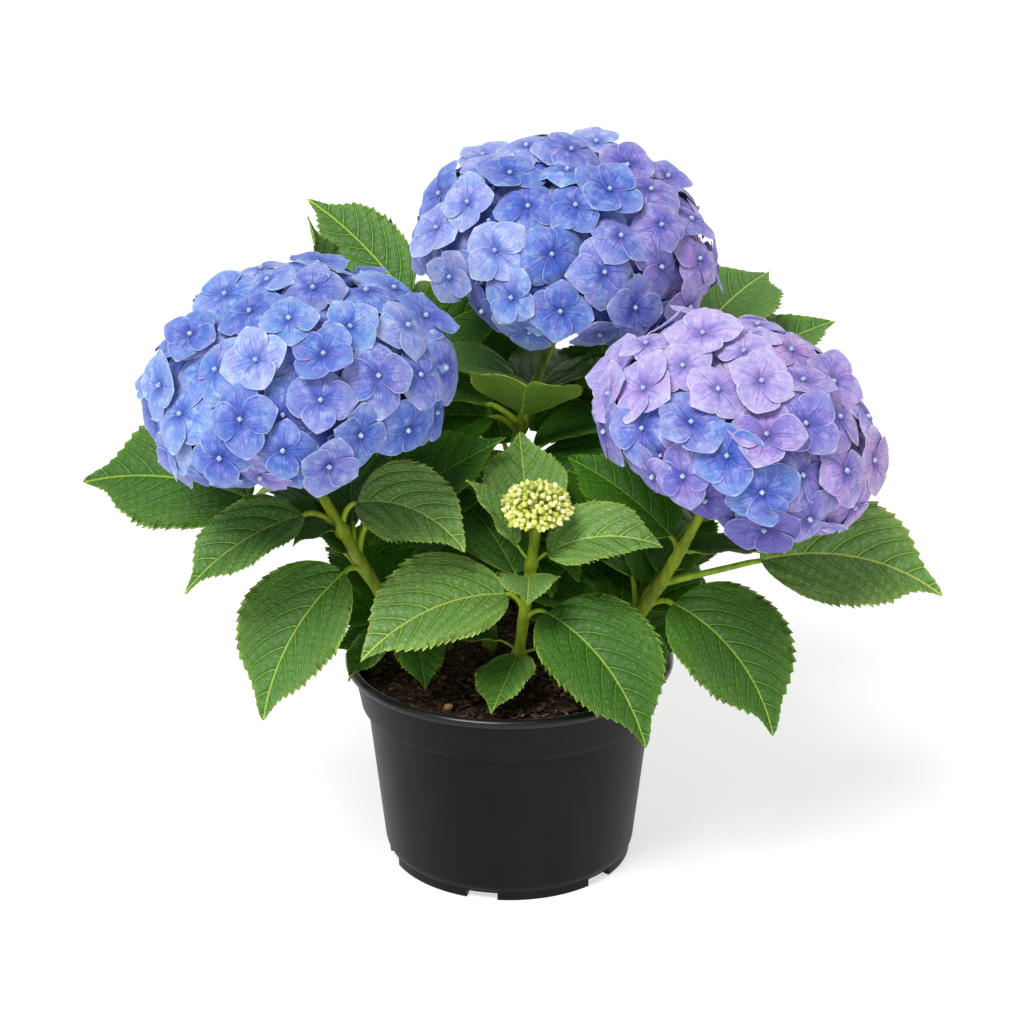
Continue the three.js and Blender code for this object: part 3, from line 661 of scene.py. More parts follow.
def blade(leaf, rng):
    """The points of a blade and their chart: side vein count, distance across as a share of the
    blade's length, nearness to the edge."""
    u, v = np.meshgrid(BLADE_ROWS, BLADE_COLUMNS, indexing="ij")
    out, left = np.abs(v), v < 0
    length, reach = leaf.length, leaf.length * leaf.share / 2
    count = np.clip(length / VEIN_GAP, 4.5, 7.3)
    place = (u - FIRST_TOOTH) * TEETH / TOOTHED
    tooth = place % 1
    saw = np.where(tooth < TOOTH_PEAK, tooth / TOOTH_PEAK, (1 - tooth) / (1 - TOOTH_PEAK))
    saw = np.where((u > FIRST_TOOTH) & (u < 0.975), saw, 0)
    uneven = rng.uniform(0.45, 1.25, (TEETH + 2, 2))
    saw = saw * uneven[np.clip(place, 0, TEETH).astype(int), (v > 0).astype(int)]
    rim = np.clip((out - 0.82) / 0.18, 0, 1)
    bite = (length * 0.013 + 0.8 * MM) * (0.55 + 0.45 * np.sin(np.pi * np.clip(u, 0, 1) ** 0.8))
    bite = bite * np.clip((1 - u) / 0.22, 0.2, 1)
    w = half_width(u) * reach
    across = v * w + np.sign(v) * rim * (saw - 0.35) * bite
    forward = rim * saw * bite * 0.75
    x = out * w / (0.34 * length)
    lean = VEIN_LEAN[0] * x + VEIN_LEAN[1] * x * x
    phase = count * (u - lean) + 0.25 + VEIN_STEP * left + rng.random()
    cell = 1 - np.abs(np.cos(np.pi * phase)) ** 3.2
    calm = np.clip(out / 0.2, 0, 1) * (1 - np.clip((out - 0.8) / 0.2, 0, 1) ** 2)
    calm *= np.clip(w / reach * 1.6, 0, 1)
    quilt = (cell - 0.55) * calm * 0.0155 * length
    groove = -0.8 * MM * np.exp(-(across / (1.2 * MM)) ** 2)
    tall, often, start = rng.uniform(0.5, 1.2) * MM, rng.uniform(1.6, 2.6), rng.random()
    waves = tall * np.sin(math.tau * (u * often + start) + 1.9 * left) * v * v * 1.6
    droop = -0.05 * w * out ** 3
    s, n = leaf.frame(u)
    height = out * w * math.sin(FOLD) + droop + quilt + groove + waves
    top = (leaf.midrib(u) + s * (across * math.cos(FOLD))[..., None]
           + leaf.step(leaf.pitch(u)) * forward[..., None] + n * height[..., None])
    skin = (0.55 * MM + 0.35 * MM * np.exp(-(across / (2 * MM)) ** 2)) * (1 - 0.5 * u)
    root, tip = leaf.midrib(np.array([0.0, 1.0]))
    chart = np.stack([phase, x, out], -1)
    return (sheet_points(root, top, top - n * skin[..., None], tip),
            sheet_points([0, 0, 0], chart, chart, [0, 0, 1]))


def leaf_finish(name, body, rib, edge, painted_sheen, bump_up, rough, gloss):
    """Blade skin: the body colour, with a painted bluish sheen where it swells between the yellow-green
    side veins, painted shade beside the veins, between the swells and in fine creases across from
    vein to vein, and a thin pale margin."""
    finish = Finish(name, {"Base Color": body, "Specular IOR Level": gloss, "Coat Roughness": 0.42})
    phase, side, out = finish.chart()
    # A darker green: random darker tone and flecks, and also painted shade beside the veins, between the
    # swells and in the creases.
    dark = tuple(c * 0.42 for c in body[:3]) + (1,)
    near = abs(phase.fraction() - 0.5)
    vein, flank, by = near.rise(0.452, 0.488), near.rise(0.36, 0.46), near.rise(0.14, 0.48)
    wander = finish.grain(150, 3, 0.6)
    along = phase + side * 1.6 + side * side * 2.7  # undoes the veins' lean, for about 6.7 of them
    reach = along * 3.3 + side * 4.2
    step = abs((reach * 0.75 + wander * 0.9).fraction() - 0.5)
    crease, swell = step.rise(0.4, 0.5), step.rise(0.42, 0.05)
    cell = finish.node("ShaderNodeTexVoronoi", {"feature": "DISTANCE_TO_EDGE"}, {
        "Vector": finish.node("ShaderNodeCombineXYZ", {}, {"X": phase * 3.1, "Y": reach}),
        "Scale": 1.0}, "Distance")
    net, pillow = cell.rise(0.055, 0.0), cell.rise(0.0, 0.3)
    middle = side.rise(0.023, 0.011)
    margin = out.rise(0.94, 0.98)
    tone = finish.grain(22, 4, 0.6)
    fleck = finish.grain(700, 3, 0.6)
    # Coats: random darker tone, a painted bluish sheen on the swells, yellow-green towards the edge, painted
    # shade beside the veins, between the swells and in the creases, flecks, the veins and the margin.
    colour = finish.coats(body, (tone.rise(0.35, 0.68) * 0.4, dark),
                          ((1 - by) * (0.3 + pillow * 0.45 + swell * 0.25) * 0.8, painted_sheen),
                          (out.rise(0.45, 1.0) * 0.42, rib),
                          (flank * 0.46 + (1 - pillow) * 0.24 + crease * 0.14, dark),
                          (fleck.rise(0.45, 0.75) * 0.16, dark),
                          ((net * 0.14).most(vein * 0.9), rib), (middle.most(margin * 0.75), edge))
    finish.wear({"Base Color": colour, "Roughness": rough + fleck * 0.14 - pillow * 0.05,
                 "Coat Weight": 0.03 + tone * 0.07})
    finish.bump((flank * 0.5 + crease * 0.2 - pillow * 0.45) * bump_up + fleck * 0.15, 0.8, 0.0009)
    return finish


# For each finish: body, veins, edge and painted sheen, which way its relief goes, roughness and gloss.
leaf_finishes = [leaf_finish(f"leaf_{name}", *(shade(*c) for c in colours), bump_up, rough, gloss)
                 for name, bump_up, rough, gloss, *colours in (
    ("young", -1, 0.44, 0.34, (98, 150, 44), (164, 204, 96), (198, 218, 104), (136, 176, 112)),
    ("full", -1, 0.44, 0.34, (70, 124, 24), (134, 178, 76), (176, 204, 86), (102, 146, 80)),
    ("deep", -1, 0.46, 0.34, (54, 106, 14), (106, 154, 50), (146, 182, 66), (74, 122, 44)),
    # The darkest green is painted shade, for leaves deep in the plant.
    ("old", -1, 0.5, 0.2, (48, 104, 4), (90, 144, 26), (116, 156, 42), (58, 108, 18)),
    ("underside", 1, 0.6, 0.34, (112, 158, 28), (160, 192, 74), (184, 204, 80), (126, 164, 58)))]
SHADED, UNDER = 3, 4  # their places in that list
stalk_skin = stem_finish("leaf_stalk", shade(158, 184, 40), shade(118, 152, 18), shade(146, 138, 44))

# The finish of each leaf of a shoot's list, in its order; 3 is the darkest green, which is painted shade.
SHADE_OF = {"front": (0, 2, 0, 1, 0, 0, 0, 2, 2, 2), "left": (2, 1, 1, 0, 3, 2, 2, 2, 3, 2, 2),
            "right": (2, 0, 3, 2, 2, 2, 2, 2, 2, 2), "centre": (2, 1, 3, 2, 3, 3, 3, 3, 3, 3, 3),
            "back_left": (1, 1, 1, 2, 1, 2, 2, 2), "back_right": (1, 1, 1, 2, 1, 1, 2, 2, 2)}
# Leaves that fill the middle of the plant, in the darkest green, which is painted shade, with the same
# numbers for each.
INNER = {
    "centre": [(0.34, 8, 26, 15, -10, -30, 86, 35, 0.75), (0.70, 186, 18, 35, 10, -20, 84, -35, 0.7),
               (0.55, -30, 22, 35, 5, -45, 84, 22, 0.75), (0.50, 212, 22, 35, 5, -45, 80, -22, 0.75),
               (0.28, 184, 24, 30, 0, -25, 78, -35, 0.75), (0.42, -95, 18, 20, -25, -70, 66, 0, 0.8),
               (0.62, -98, 12, 30, 5, -40, 62, 0, 0.9), (0.36, -62, 14, 30, 5, -45, 62, 0, 0.85)],
    "left": [(0.20, 185, 14, 10, -5, -20, 30, -25, 0.9), (0.70, 95, 16, 60, 30, 0, 72, 0, 0.75),
             (0.30, 170, 12, 20, 10, -25, 50, -20, 0.75), (0.45, 192, 36, 55, 60, 20, 50, -20, 0.7),
             (0.78, 150, 12, 8, -5, -30, 62, 0, 0.75)],
    "right": [(0.16, 20, 12, 30, 0, -30, 54, 20, 0.75), (0.20, 150, 16, 40, 20, -10, 64, -20, 0.75),
              (0.22, 85, 18, 50, 30, 0, 62, 0, 0.8), (0.34, 35, 12, 45, 25, -10, 44, 30, 0.75)],
    "back_left": [(0.90, 0, 16, 10, -10, -20, 90, 50, 0.75), (0.96, 12, 10, 50, 35, 10, 60, 50, 0.85)],
    "back_right": [(0.90, 180, 16, 10, -10, -20, 90, -50, 0.75), (0.88, 200, 8, 30, 25, 5, 64, -40, 0.7)],
}
# A stalk and the midrib that it goes on in: radii in millimetres at shares of their lengths.
STALK_TAPER = [0, 0.1, 0.35, 1], [2.7, 2.2, 1.9, 1.6]
RIB_TAPER = [0, 0.12, 0.5, 1], [1.4, 1.1, 0.75, 0.32]
stalks = Heap()
for name, shoot in SHOOTS.items():
    rng = np.random.default_rng(100 + len(name) * 7 + len(shoot["leaves"]))
    heap = Heap()
    slim = 0.72 if name == "front" else 1.0
    inner = INNER.get(name, [])
    for row, tone in zip(shoot["leaves"] + inner, SHADE_OF[name] + (SHADED,) * len(inner)):
        leaf = Leaf(shoot, *row)
        points, chart = blade(leaf, rng)
        heap.add(points, blade_faces, (tone, tone, UNDER, UNDER), chart)
        thick = min(1.0, (leaf.length / (92 * MM)) ** 0.7)
        t, u = np.linspace(0, 1, 9), np.linspace(0.03, 0.94, 22)
        bend = leaf.base - leaf.step(leaf.pitch(0)) * leaf.stalk * 0.42
        stalk = arc(leaf.start, bend, leaf.base, t[:, None])
        sunk = 1.25 * MM * thick * (1 - u) ** 0.5 + 0.75 * MM
        rib = leaf.midrib(u) - leaf.frame(u)[1] * sunk[:, None]
        radii = np.concatenate([np.interp(t[:-1], *STALK_TAPER), np.interp(u, *RIB_TAPER)]) * thick * slim
        stalks.add(*tube(np.concatenate([stalk[:-1], rib]), radii * MM, 10), 0)
    piece = heap.piece(f"foliage_{name}", leaf_finishes)
    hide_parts(f"leaves_{name}")
stalk_piece = stalks.piece("leaf_stalks", [stalk_skin])

# ---------------------------------------------------------------------------------------------
# Flower heads. A domed mophead is a stalk that forks under it again and again, each last twig
# ending in one sterile floret: four broad overlapping sepals round a small unopened bud.
# ---------------------------------------------------------------------------------------------
# A head's dome: its middle, its radii across, up and down, the way its axis leans, the polar angle
# of its last florets, and the seed of its draws.
HEADS = {
    "left": dict(centre=(-112, -44, 297), across=83, up=68, low=46, heading=205, tilt=15, last=107, seed=45),
    "centre": dict(centre=(33, 72, 343), across=86, up=61, low=46, heading=-60, tilt=12, last=107, seed=46),
    "right": dict(centre=(122, -56, 275), across=78, up=60, low=42, heading=-20, tilt=22, last=107, seed=32),
}
SEPAL_ROWS = np.array([0.03, 0.1, 0.2, 0.33, 0.47, 0.61, 0.74, 0.86, 0.95, 0.99])
SEPAL_COLUMNS = np.array([-1, -0.97, -0.74, -0.38, 0, 0.38, 0.74, 0.97, 1])
sepal_faces = sheet_faces(len(SEPAL_ROWS), len(SEPAL_COLUMNS))
SMALL_ROWS = np.array([0.1, 0.35, 0.62, 0.86, 0.97])
SMALL_COLUMNS = np.array([-1, -0.94, 0, 0.94, 1])
small_faces = sheet_faces(len(SMALL_ROWS), len(SMALL_COLUMNS))


def dome_axes(head):
    h, tilt = math.radians(head["heading"]), math.radians(head["tilt"])
    axis = np.array([math.sin(tilt) * math.cos(h), math.sin(tilt) * math.sin(h), math.cos(tilt)])
    u = unit(np.cross([0.0, 1.0, 0.0], axis))
    return u, np.cross(axis, u), axis


def dome_point(head, axes, polar, turn, grow=0.0):
    """A point on the dome, in metres, and its outward direction; polar is counted from the top."""
    a = head["across"] + grow
    b = (head["up"] if polar < math.pi / 2 else head["low"]) + grow
    flat = np.array([a * math.sin(polar) * math.cos(turn), a * math.sin(polar) * math.sin(turn),
                     b * math.cos(polar)])
    out = unit(flat / np.array([a * a, a * a, b * b]))
    frame3 = np.stack(axes)
    return (np.array(head["centre"]) + flat @ frame3) * MM, out @ frame3


def spiral(count, last, offset=0.0):
    """Places spread evenly over a dome, down to the polar angle last."""
    for i in range(count):
        c = 1 - ((i + 0.5) / count) * (1 - math.cos(last))
        yield i, math.acos(c), i * math.pi * (3 - math.sqrt(5)) + offset


def sepal(rows, columns, length, width, rng, lift, bend):
    """One sepal in its own space, Y outwards and Z up: broad from its foot, with a blunt point."""
    s, t = np.meshgrid(rows, columns, indexing="ij")
    k = np.clip((s - 0.5) / 0.5, 0, 1)
    foot, end = np.sin(np.pi * np.clip(s, 0, 0.5)) ** 0.75, 1 - k ** rng.uniform(1.55, 2.2)
    w = width / 2 * np.where(s < 0.5, foot, end ** rng.uniform(0.74, 1.0))
    w = w * (1 + 0.05 * np.sin(math.tau * (1.7 * s + rng.random()) + 2.0 * np.sign(t)) * s)
    x = t * w
    y = s * length
    arch = rng.uniform(-0.04, 0.14)
    curl = rng.uniform(-0.03, 0.16)
    z = lift * np.minimum(1, s * 4) + 0.9 * MM * (1 - np.exp(-((x * x + y * y) / (5 * MM) ** 2)))
    z = z - (x * x + y * y) / (2 * bend) - curl * length * np.clip((s - 0.45) / 0.55, 0, 1) ** 2
    z = z - arch * t * t * w
    ripple = np.sin(math.tau * (s * rng.uniform(0.9, 1.7) + rng.random()) + 2.2 * t)
    z = z + 0.55 * MM * ripple * np.abs(t) * s - 0.3 * MM * np.exp(-(t / 0.14) ** 2) * (1 - s)
    return np.stack([-x, y, z], -1), np.stack([t, s, np.full_like(s, rng.random())], -1)


def knob(profile, sides, scale, squeeze):
    """A small body turned from a profile of (radius, height), pressed four-sided."""
    turn = np.arange(sides) / sides * math.tau
    wobble = 1 + squeeze * np.cos(4 * turn)
    rings = np.array([[[r * k * math.cos(a), r * k * math.sin(a), z] for a, k in zip(turn, wobble)]
                      for r, z in profile[1:-1]])
    points, (quads, caps) = wrapped(rings, [0, 0, profile[0][1]], [0, 0, profile[-1][1]])
    return points * scale, (quads[:, [0, 3, 2, 1]], caps[:, [0, 2, 1]])


BEAD = 10  # the bead's place in the list of petal finishes
bead_points, bead_faces = knob([(0, -0.2), (0.8, 0.05), (1.1, 0.7), (0.85, 1.45), (0.35, 1.9), (0, 2)],
                               8, 1.35 * MM, 0.12)


SEPAL_SKIN = 0.22 * MM
OVER, UNDERNEATH = 1.1 * MM, 0.1 * MM  # how high the upper and the lower two sepals start
BALL = 38, 70  # the radii of the ball on which a floret's sepals bend back, in millimetres


def floret(heap, at, out, size, turned, tone, rng, fine, fold):
    """Adds a floret: two sepals below, two above at right angles, and its bead if it is fine. The
    sepals bend back as on a ball, or where it may fold sometimes cup instead."""
    ref = np.array([1.0, 0, 0]) if abs(out[2]) > 0.9 else np.array([0, 0, 1.0])
    x = unit(np.cross(ref, out))
    y = np.cross(out, x)
    rows, columns = (SEPAL_ROWS, SEPAL_COLUMNS) if fine else (SMALL_ROWS, SMALL_COLUMNS)
    faces = sepal_faces if fine else small_faces
    bend = 1 / (rng.choice([-0.6, 1, 1] if fold else [1, 1.3]) / rng.uniform(*BALL) + 0.004) * MM
    for k in range(4):
        a = turned + k * math.pi / 2 + rng.uniform(-0.13, 0.13)
        length = size * rng.uniform(0.93, 1.05) * (0.97 if k % 2 else 1.03)
        top, chart = sepal(rows, columns, length, length * rng.uniform(1.04, 1.18), rng,
                           OVER if k % 2 else UNDERNEATH, bend)
        tip = top[-1, len(columns) // 2] + [0, 0.012 * length, 0]
        points = sheet_points([0, 0, -0.2 * MM], top, top - [0, 0, SEPAL_SKIN], tip)
        ca, sa = math.cos(a), math.sin(a)
        spin = np.array([[ca, sa, 0], [-sa, ca, 0], [0, 0, 1]])
        heap.add((points @ spin) @ np.stack([x, y, out]) + at, faces, tone,
                 sheet_points([0, 0, 0.5], chart, chart, [0, 1, 0.5]))
    if fine:
        heap.add(bead_points @ np.stack([x, y, out]) + at, bead_faces, BEAD)


def petal_finish(name, body, blush, glow, deep):
    """Sepal skin: soft blotches, fanned veins, a dark throat that is partly its own colour and partly
    painted shade of the cup, an outer part lighter partly by painted light, and a thin pale rim that
    is a painted highlight.
    """
    finish = Finish(name, {"Base Color": body, "Specular IOR Level": 0.3, "Sheen Weight": 0.12,
                           "Sheen Roughness": 0.4})
    side, out, seed = finish.chart()
    wander = finish.grain(150, 3)
    lane = side * 4.5 + (wander - 0.5) * 1.1 + seed
    fork = side * 10 + (wander - 0.5) * 2.2 + seed * 3
    vein = abs(lane.fraction() - 0.5).rise(0.43, 0.5) * out.rise(0.02, 0.2) * out.rise(0.98, 0.6)
    twig = abs(fork.fraction() - 0.5).rise(0.4, 0.5) * out.rise(0.35, 0.6)
    keel = abs(side).rise(0.07, 0.0) * out.rise(0.9, 0.5)
    lines = vein.most(keel).most(twig * 0.55)
    pink = finish.grain(115, 5, 0.68)
    pale = finish.grain(150, 5, 0.68)
    mottle = finish.grain(420, 3, 0.6)
    # The pale rim is a painted highlight, where the edge catches the light.
    rim = abs(side).most(out).rise(0.92, 0.97)
    painted_rim_highlight = tuple(0.4 + 0.6 * c for c in glow[:3]) + (1,)
    # Coats: pink and pale blotches, the outer part lighter (partly its own paling, partly painted light),
    # mottle, veins, the throat darker (partly its own colour, partly painted shade of the cup) and the
    # painted rim highlight.
    colour = finish.coats(body, (pink.rise(0.44, 0.62) * 0.66, blush), (pale.rise(0.45, 0.68) * 0.6, glow),
                          (out.rise(0.35, 1.0) * 0.42, glow), (mottle.rise(0.4, 0.7) * 0.26, deep),
                          (lines * 0.46, deep), (out.rise(0.42, 0.02) * 0.8, deep), (rim * 0.55, painted_rim_highlight))
    grit = finish.grain(1300, 2)
    finish.wear({"Base Color": colour, "Roughness": 0.58 + grit * 0.12})
    finish.bump(grit * 0.3 - lines * 0.8, 0.6, 0.0004)
    return finish


# For each finish: body, blush, glow, which also gives the painted light on the outer part and rim, and the
# deep colour of its veins.
petal_finishes = [petal_finish(f"sepal_{name}", *(shade(*c) for c in colours)) for name, *colours in (
    ("sky", (98, 140, 218), (146, 144, 218), (192, 220, 248), (34, 64, 170)),
    ("cornflower", (76, 110, 202), (128, 120, 206), (162, 190, 240), (26, 46, 152)),
    ("periwinkle", (98, 120, 206), (152, 136, 212), (190, 204, 244), (40, 54, 158)),
    ("violet", (108, 110, 198), (164, 134, 206), (190, 190, 238), (48, 46, 146)),
    ("lilac", (138, 126, 206), (190, 146, 210), (212, 202, 244), (70, 52, 150)),
    ("rose_lilac", (162, 138, 208), (204, 158, 214), (226, 212, 246), (88, 60, 154)),
    ("under", (80, 100, 182), (104, 92, 180), (112, 146, 208), (30, 48, 134)),
    ("under_violet", (90, 84, 170), (122, 92, 174), (122, 130, 204), (46, 40, 126)),
    ("pale", (130, 154, 224), (170, 158, 224), (208, 224, 250), (54, 80, 178)),
    ("pale_lilac", (170, 160, 226), (204, 170, 224), (228, 220, 250), (94, 76, 172)))]
IN_SHADE, VIOLET_IN_SHADE, PALE, PALE_LILAC = 6, 7, 8, 9  # their places in that list
bead_finish = Finish("floret_bead", {"Base Color": shade(170, 196, 226), "Specular IOR Level": 0.4})
spots = bead_finish.grain(900, 2)
colour = bead_finish.mix(spots.rise(0.35, 0.7), shade(150, 180, 218), shade(206, 220, 232))
bead_finish.wear({"Base Color": colour, "Roughness": 0.45 + spots * 0.2})
bead_finish.bump(spots, 0.4, 0.0003)
petal_finishes.append(bead_finish)
ray_skin = stem_finish("flower_stalk", shade(168, 186, 92), shade(132, 160, 70), shade(150, 150, 90))
pedicel_skin = Finish("pedicel", {"Base Color": shade(140, 160, 150), "Specular IOR Level": 0.35})
tint = pedicel_skin.grain(90, 3)
colour = pedicel_skin.mix(tint.rise(0.35, 0.65), shade(136, 164, 120), shade(120, 134, 196))
pedicel_skin.wear({"Base Color": colour, "Roughness": 0.5 + tint * 0.15})
pedicel_skin.bump(pedicel_skin.grain(800, 2), 0.3, 0.0002)


def bow(start, end, way, reach, count):
    """Points from start to end that set out along way."""
    return arc(start, start + way * reach, end, np.linspace(0, 1, count)[:, None])


def tone_at(name, local, rng):
    """Which petal finish a floret takes, from its place on the dome: to the right they turn to
    lilac, and some of those on top or at the left are pale, partly their own colour and partly
    painted light where the lamp falls on them."""
    x, z = local[0], local[2]
    if name == "left":
        # Pale florets on top: partly their own colour, partly painted light from above.
        if z > 0.4 and rng.random() < 0.2:
            return PALE
        warm = 1.0 + 0.55 * x - 0.8 * z + rng.normal(0, 0.75)
    elif name == "centre":
        # Pale florets at the left and on top: partly their own colour, partly painted light from the lamp.
        if rng.random() < (0.85 if x < -0.42 else 0.45 if z > 0.5 and x < 0.4 else 0.0):
            return PALE
        warm = 0.8 + 3.2 * max(x, 0) + 0.35 * z + rng.normal(0, 0.7)
    else:
        # Pale lilac florets on top: partly their own colour, partly painted light from above.
        if z > 0.36 and rng.random() < 0.85:
            return PALE_LILAC
        blue = math.exp(-((x + 0.08) ** 2 + (z - 0.02) ** 2) / 0.16)
        warm = 3.3 + 1.1 * x + 0.7 * z - 1.9 * blue + rng.normal(0, 0.6)
    return int(np.clip(round(warm), 0, 5))


# A head is a dome of small domes. Its florets lie in three layers: those on top show whole, those
# between fill the gaps, and the last close it. For each layer: how many florets, how far over the
# dome, how much that varies, their size, and the share that are in shade low on the head.
LAYERS = ((60, -0.8, 1.4, 19.6, 0.15), (60, -7.6, 1.0, 19.4, 0.6), (60, -13.2, 1.2, 20.5, 0.9))
ROOM = [34.5, 19.5, 0.0]  # room between florets of one layer, of neighbouring ones and of the others
CYMES, CYME_ROOM, CYME_REACH, CYME_SWELL = 19, 46.0, 24, 2.6  # the small domes
TO_LIGHT = np.array([0.0, -0.26, 0.23])  # how far a floret turns to the front and up, less at the back
RELAX_SHARE = 0.12  # how much of an overlap between two places one turn takes away


def relax(spots, room, radii, last, turns):
    """Pushes places on a dome apart until none are nearer than room; spots are unit directions."""
    for turn in range(turns):
        spots = unit(spots)
        low = spots[:, 2] < last
        flat = np.hypot(spots[low, 0], spots[low, 1]) + 1e-9
        spots[low, :2] *= (math.sqrt(1 - last * last) / flat)[:, None]
        spots[low, 2] = last
        body = spots * radii
        gap = body[:, None] - body[None]
        far = np.linalg.norm(gap, axis=-1) + np.eye(len(body)) * np.max(radii) * 9
        push = np.clip(room - far, 0, None) / far
        spots = (body + (gap * push[..., None]).sum(1) * RELAX_SHARE) / radii
    return unit(spots)


def scatter(count, last, offset):
    return np.array([[math.sin(p) * math.cos(a), math.sin(p) * math.sin(a), math.cos(p)]
                     for i, p, a in spiral(count, last, offset)])


def spread(head, axes, rng):
    """Places, outward directions and layers for a head's florets, none of a layer crowding another."""
    radii = np.array([head["across"], head["across"], head["up"]], float)
    last = math.radians(head["last"])
    spots = np.concatenate([scatter(row[0], last, 1.7 * k + head["seed"]) for k, row in enumerate(LAYERS)])
    layer = np.repeat(np.arange(len(LAYERS)), [row[0] for row in LAYERS])
    apart = np.abs(layer[:, None] - layer[None])
    room = np.choose(apart, ROOM)
    spots = relax(spots + rng.normal(0, 0.06, spots.shape), room, radii, math.cos(last), 50)
    cymes = scatter(CYMES, last, head["seed"] * 2.1) + rng.normal(0, 0.08, (CYMES, 3))
    cymes = relax(cymes, CYME_ROOM, radii, math.cos(last), 20)
    for spot, k in zip(unit(spots + rng.normal(0, 0.03, spots.shape)), layer):
        near = cymes[np.argmin(np.linalg.norm((cymes - spot) * radii, axis=1))]
        off = (spot - near) * radii
        swell = -CYME_SWELL * np.clip(np.linalg.norm(off) / CYME_REACH, 0, 1.3) ** 2
        at, out = dome_point(head, axes, math.acos(spot[2]), math.atan2(spot[1], spot[0]),
                             LAYERS[k][1] + swell + rng.uniform(-1, 1) * LAYERS[k][2])
        out = unit(out + off @ np.stack(axes) / 80 + TO_LIGHT * np.clip(1.1 - out[1], 0.2, 1))
        yield at, out, int(k)


FORKS, FORK_DEPTH = 7, 34  # the forks of a head's stalk, and how far their ends lie under its dome
MIDDLE_DEPTH = 44  # the same for the fork that goes up the middle
HUB = 9 * MM  # from the shoot's tip to the first fork
twigs = Heap()
for name, head in HEADS.items():
    rng = np.random.default_rng(head["seed"])
    axes = dome_axes(head)
    heap = Heap()
    shoot = SHOOTS[name]
    top, way = shoot_point(shoot, 1.0), shoot_way(shoot, 1.0)
    hub = top + way * HUB
    line = bow(top - way * 2 * MM, hub, way, 5 * MM, 5)
    twigs.add(*tube(line, np.array([2.9, 2.8, 2.7, 2.6, 2.3]) * MM, 12), 0)
    forks = []
    for i in range(FORKS):
        turn = i / FORKS * math.tau + head["seed"]
        polar = math.radians(128 if i % 2 else 150)
        end, out = dome_point(head, axes, polar, turn, -FORK_DEPTH)
        start = hub - way * (1.5 + 5 * (i % 3) / 2) * MM
        line = bow(start, end, unit(way * 0.9 + out * 0.5), 13 * MM, 8)
        twigs.add(*tube(line, np.linspace(2.0, 1.25, 8) * MM, 9), 0)
        forks.append((end, unit(line[-1] - line[-2])))
    middle = dome_point(head, axes, 0.05, 0, -MIDDLE_DEPTH)[0]
    line = bow(hub - way * 2 * MM, middle, way, 14 * MM, 8)
    twigs.add(*tube(line, np.linspace(2.2, 1.2, 8) * MM, 9), 0)
    forks.append((middle, axes[2]))
    hue = np.random.default_rng(head["seed"] + 50)
    lilac = name == "right"
    for at, out, layer in list(spread(head, axes, rng)):
        local = (at / MM - np.array(head["centre"])) / head["across"]
        tone = tone_at(name, local, hue)
        wide, low = LAYERS[layer][3:]
        # Those deep between the others at the front, and many of those low on the head, are in shade.
        hollow = layer == 2 and out @ [0, -0.93, 0.36] > 0.8 and local[2] < 0.4
        if hollow or (local[2] < (-0.14 if lilac else -0.2) and hue.random() < low + 0.4 * lilac):
            tone = VIOLET_IN_SHADE if tone in (3, 4, 5, PALE_LILAC) or lilac else IN_SHADE
        lean = unit(out + rng.normal(0, 0.12 if layer == 0 else 0.06, 3))
        size = wide * rng.uniform(0.84, 1.16) * MM
        floret(heap, at, lean, size, rng.random() * math.tau, tone, rng, layer < 2, layer == 0)
        end, leave = min(forks, key=lambda f: np.linalg.norm(f[0] - at))
        twigs.add(*tube(bow(end, at, leave, 8 * MM, 6), np.linspace(0.85, 0.6, 6) * MM, 5), 1)
    piece = heap.piece(f"blossom_{name}", petal_finishes)
    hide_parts(f"head_{name}")
twig_piece = twigs.piece("flower_stalks", [ray_skin, pedicel_skin])

# ---------------------------------------------------------------------------------------------
# Buds. A young head that has not opened: a tight little dome of pointed green buds, each on its
# own short twig, at the tip of the front shoot.
# ---------------------------------------------------------------------------------------------
BUDS = dict(centre=(15, -56, 234), across=18.6, up=12.6, low=9, heading=-90, tilt=12)


def bud_finish(name, body, glow):
    finish = Finish(name, {"Base Color": body, "Specular IOR Level": 0.4, "Coat Roughness": 0.4})
    cloud = finish.grain(260, 3)
    finish.wear({"Base Color": finish.mix(cloud.rise(0.35, 0.68), body, glow),
                 "Roughness": 0.5 + cloud * 0.1})
    finish.bump(finish.grain(1100, 2), 0.35, 0.0003)
    return finish


bud_finishes = [bud_finish("bud_cream", shade(244, 240, 154), shade(250, 246, 194)),
                bud_finish("bud_green", shade(224, 230, 120), shade(240, 240, 158)),
                bud_finish("bud_deep", shade(184, 200, 80), shade(210, 218, 108)), ray_skin]
DEEP, RAY = 2, 3  # their places in that list
bud_points, bud_faces = knob([(0, -1.1), (0.7, -0.9), (1.15, -0.2), (1.12, 0.5), (0.72, 1.2),
                              (0.25, 1.75), (0, 1.95)], 8, 1.0 * MM, 0.1)
rng = np.random.default_rng(21)
cluster = Heap()
axes = dome_axes(BUDS)
tip, way = shoot_point(SHOOTS["front"], 1.0), shoot_way(SHOOTS["front"], 1.0)
BUD_TWIGS = 6
for i in range(BUD_TWIGS):
    end, out = dome_point(BUDS, axes, math.radians(125), i / BUD_TWIGS * math.tau, -8)
    line = bow(tip - way * 2 * MM, end, way, 5 * MM, 6)
    cluster.add(*tube(line, np.linspace(2.0, 1.0, 6) * MM, 8), RAY)
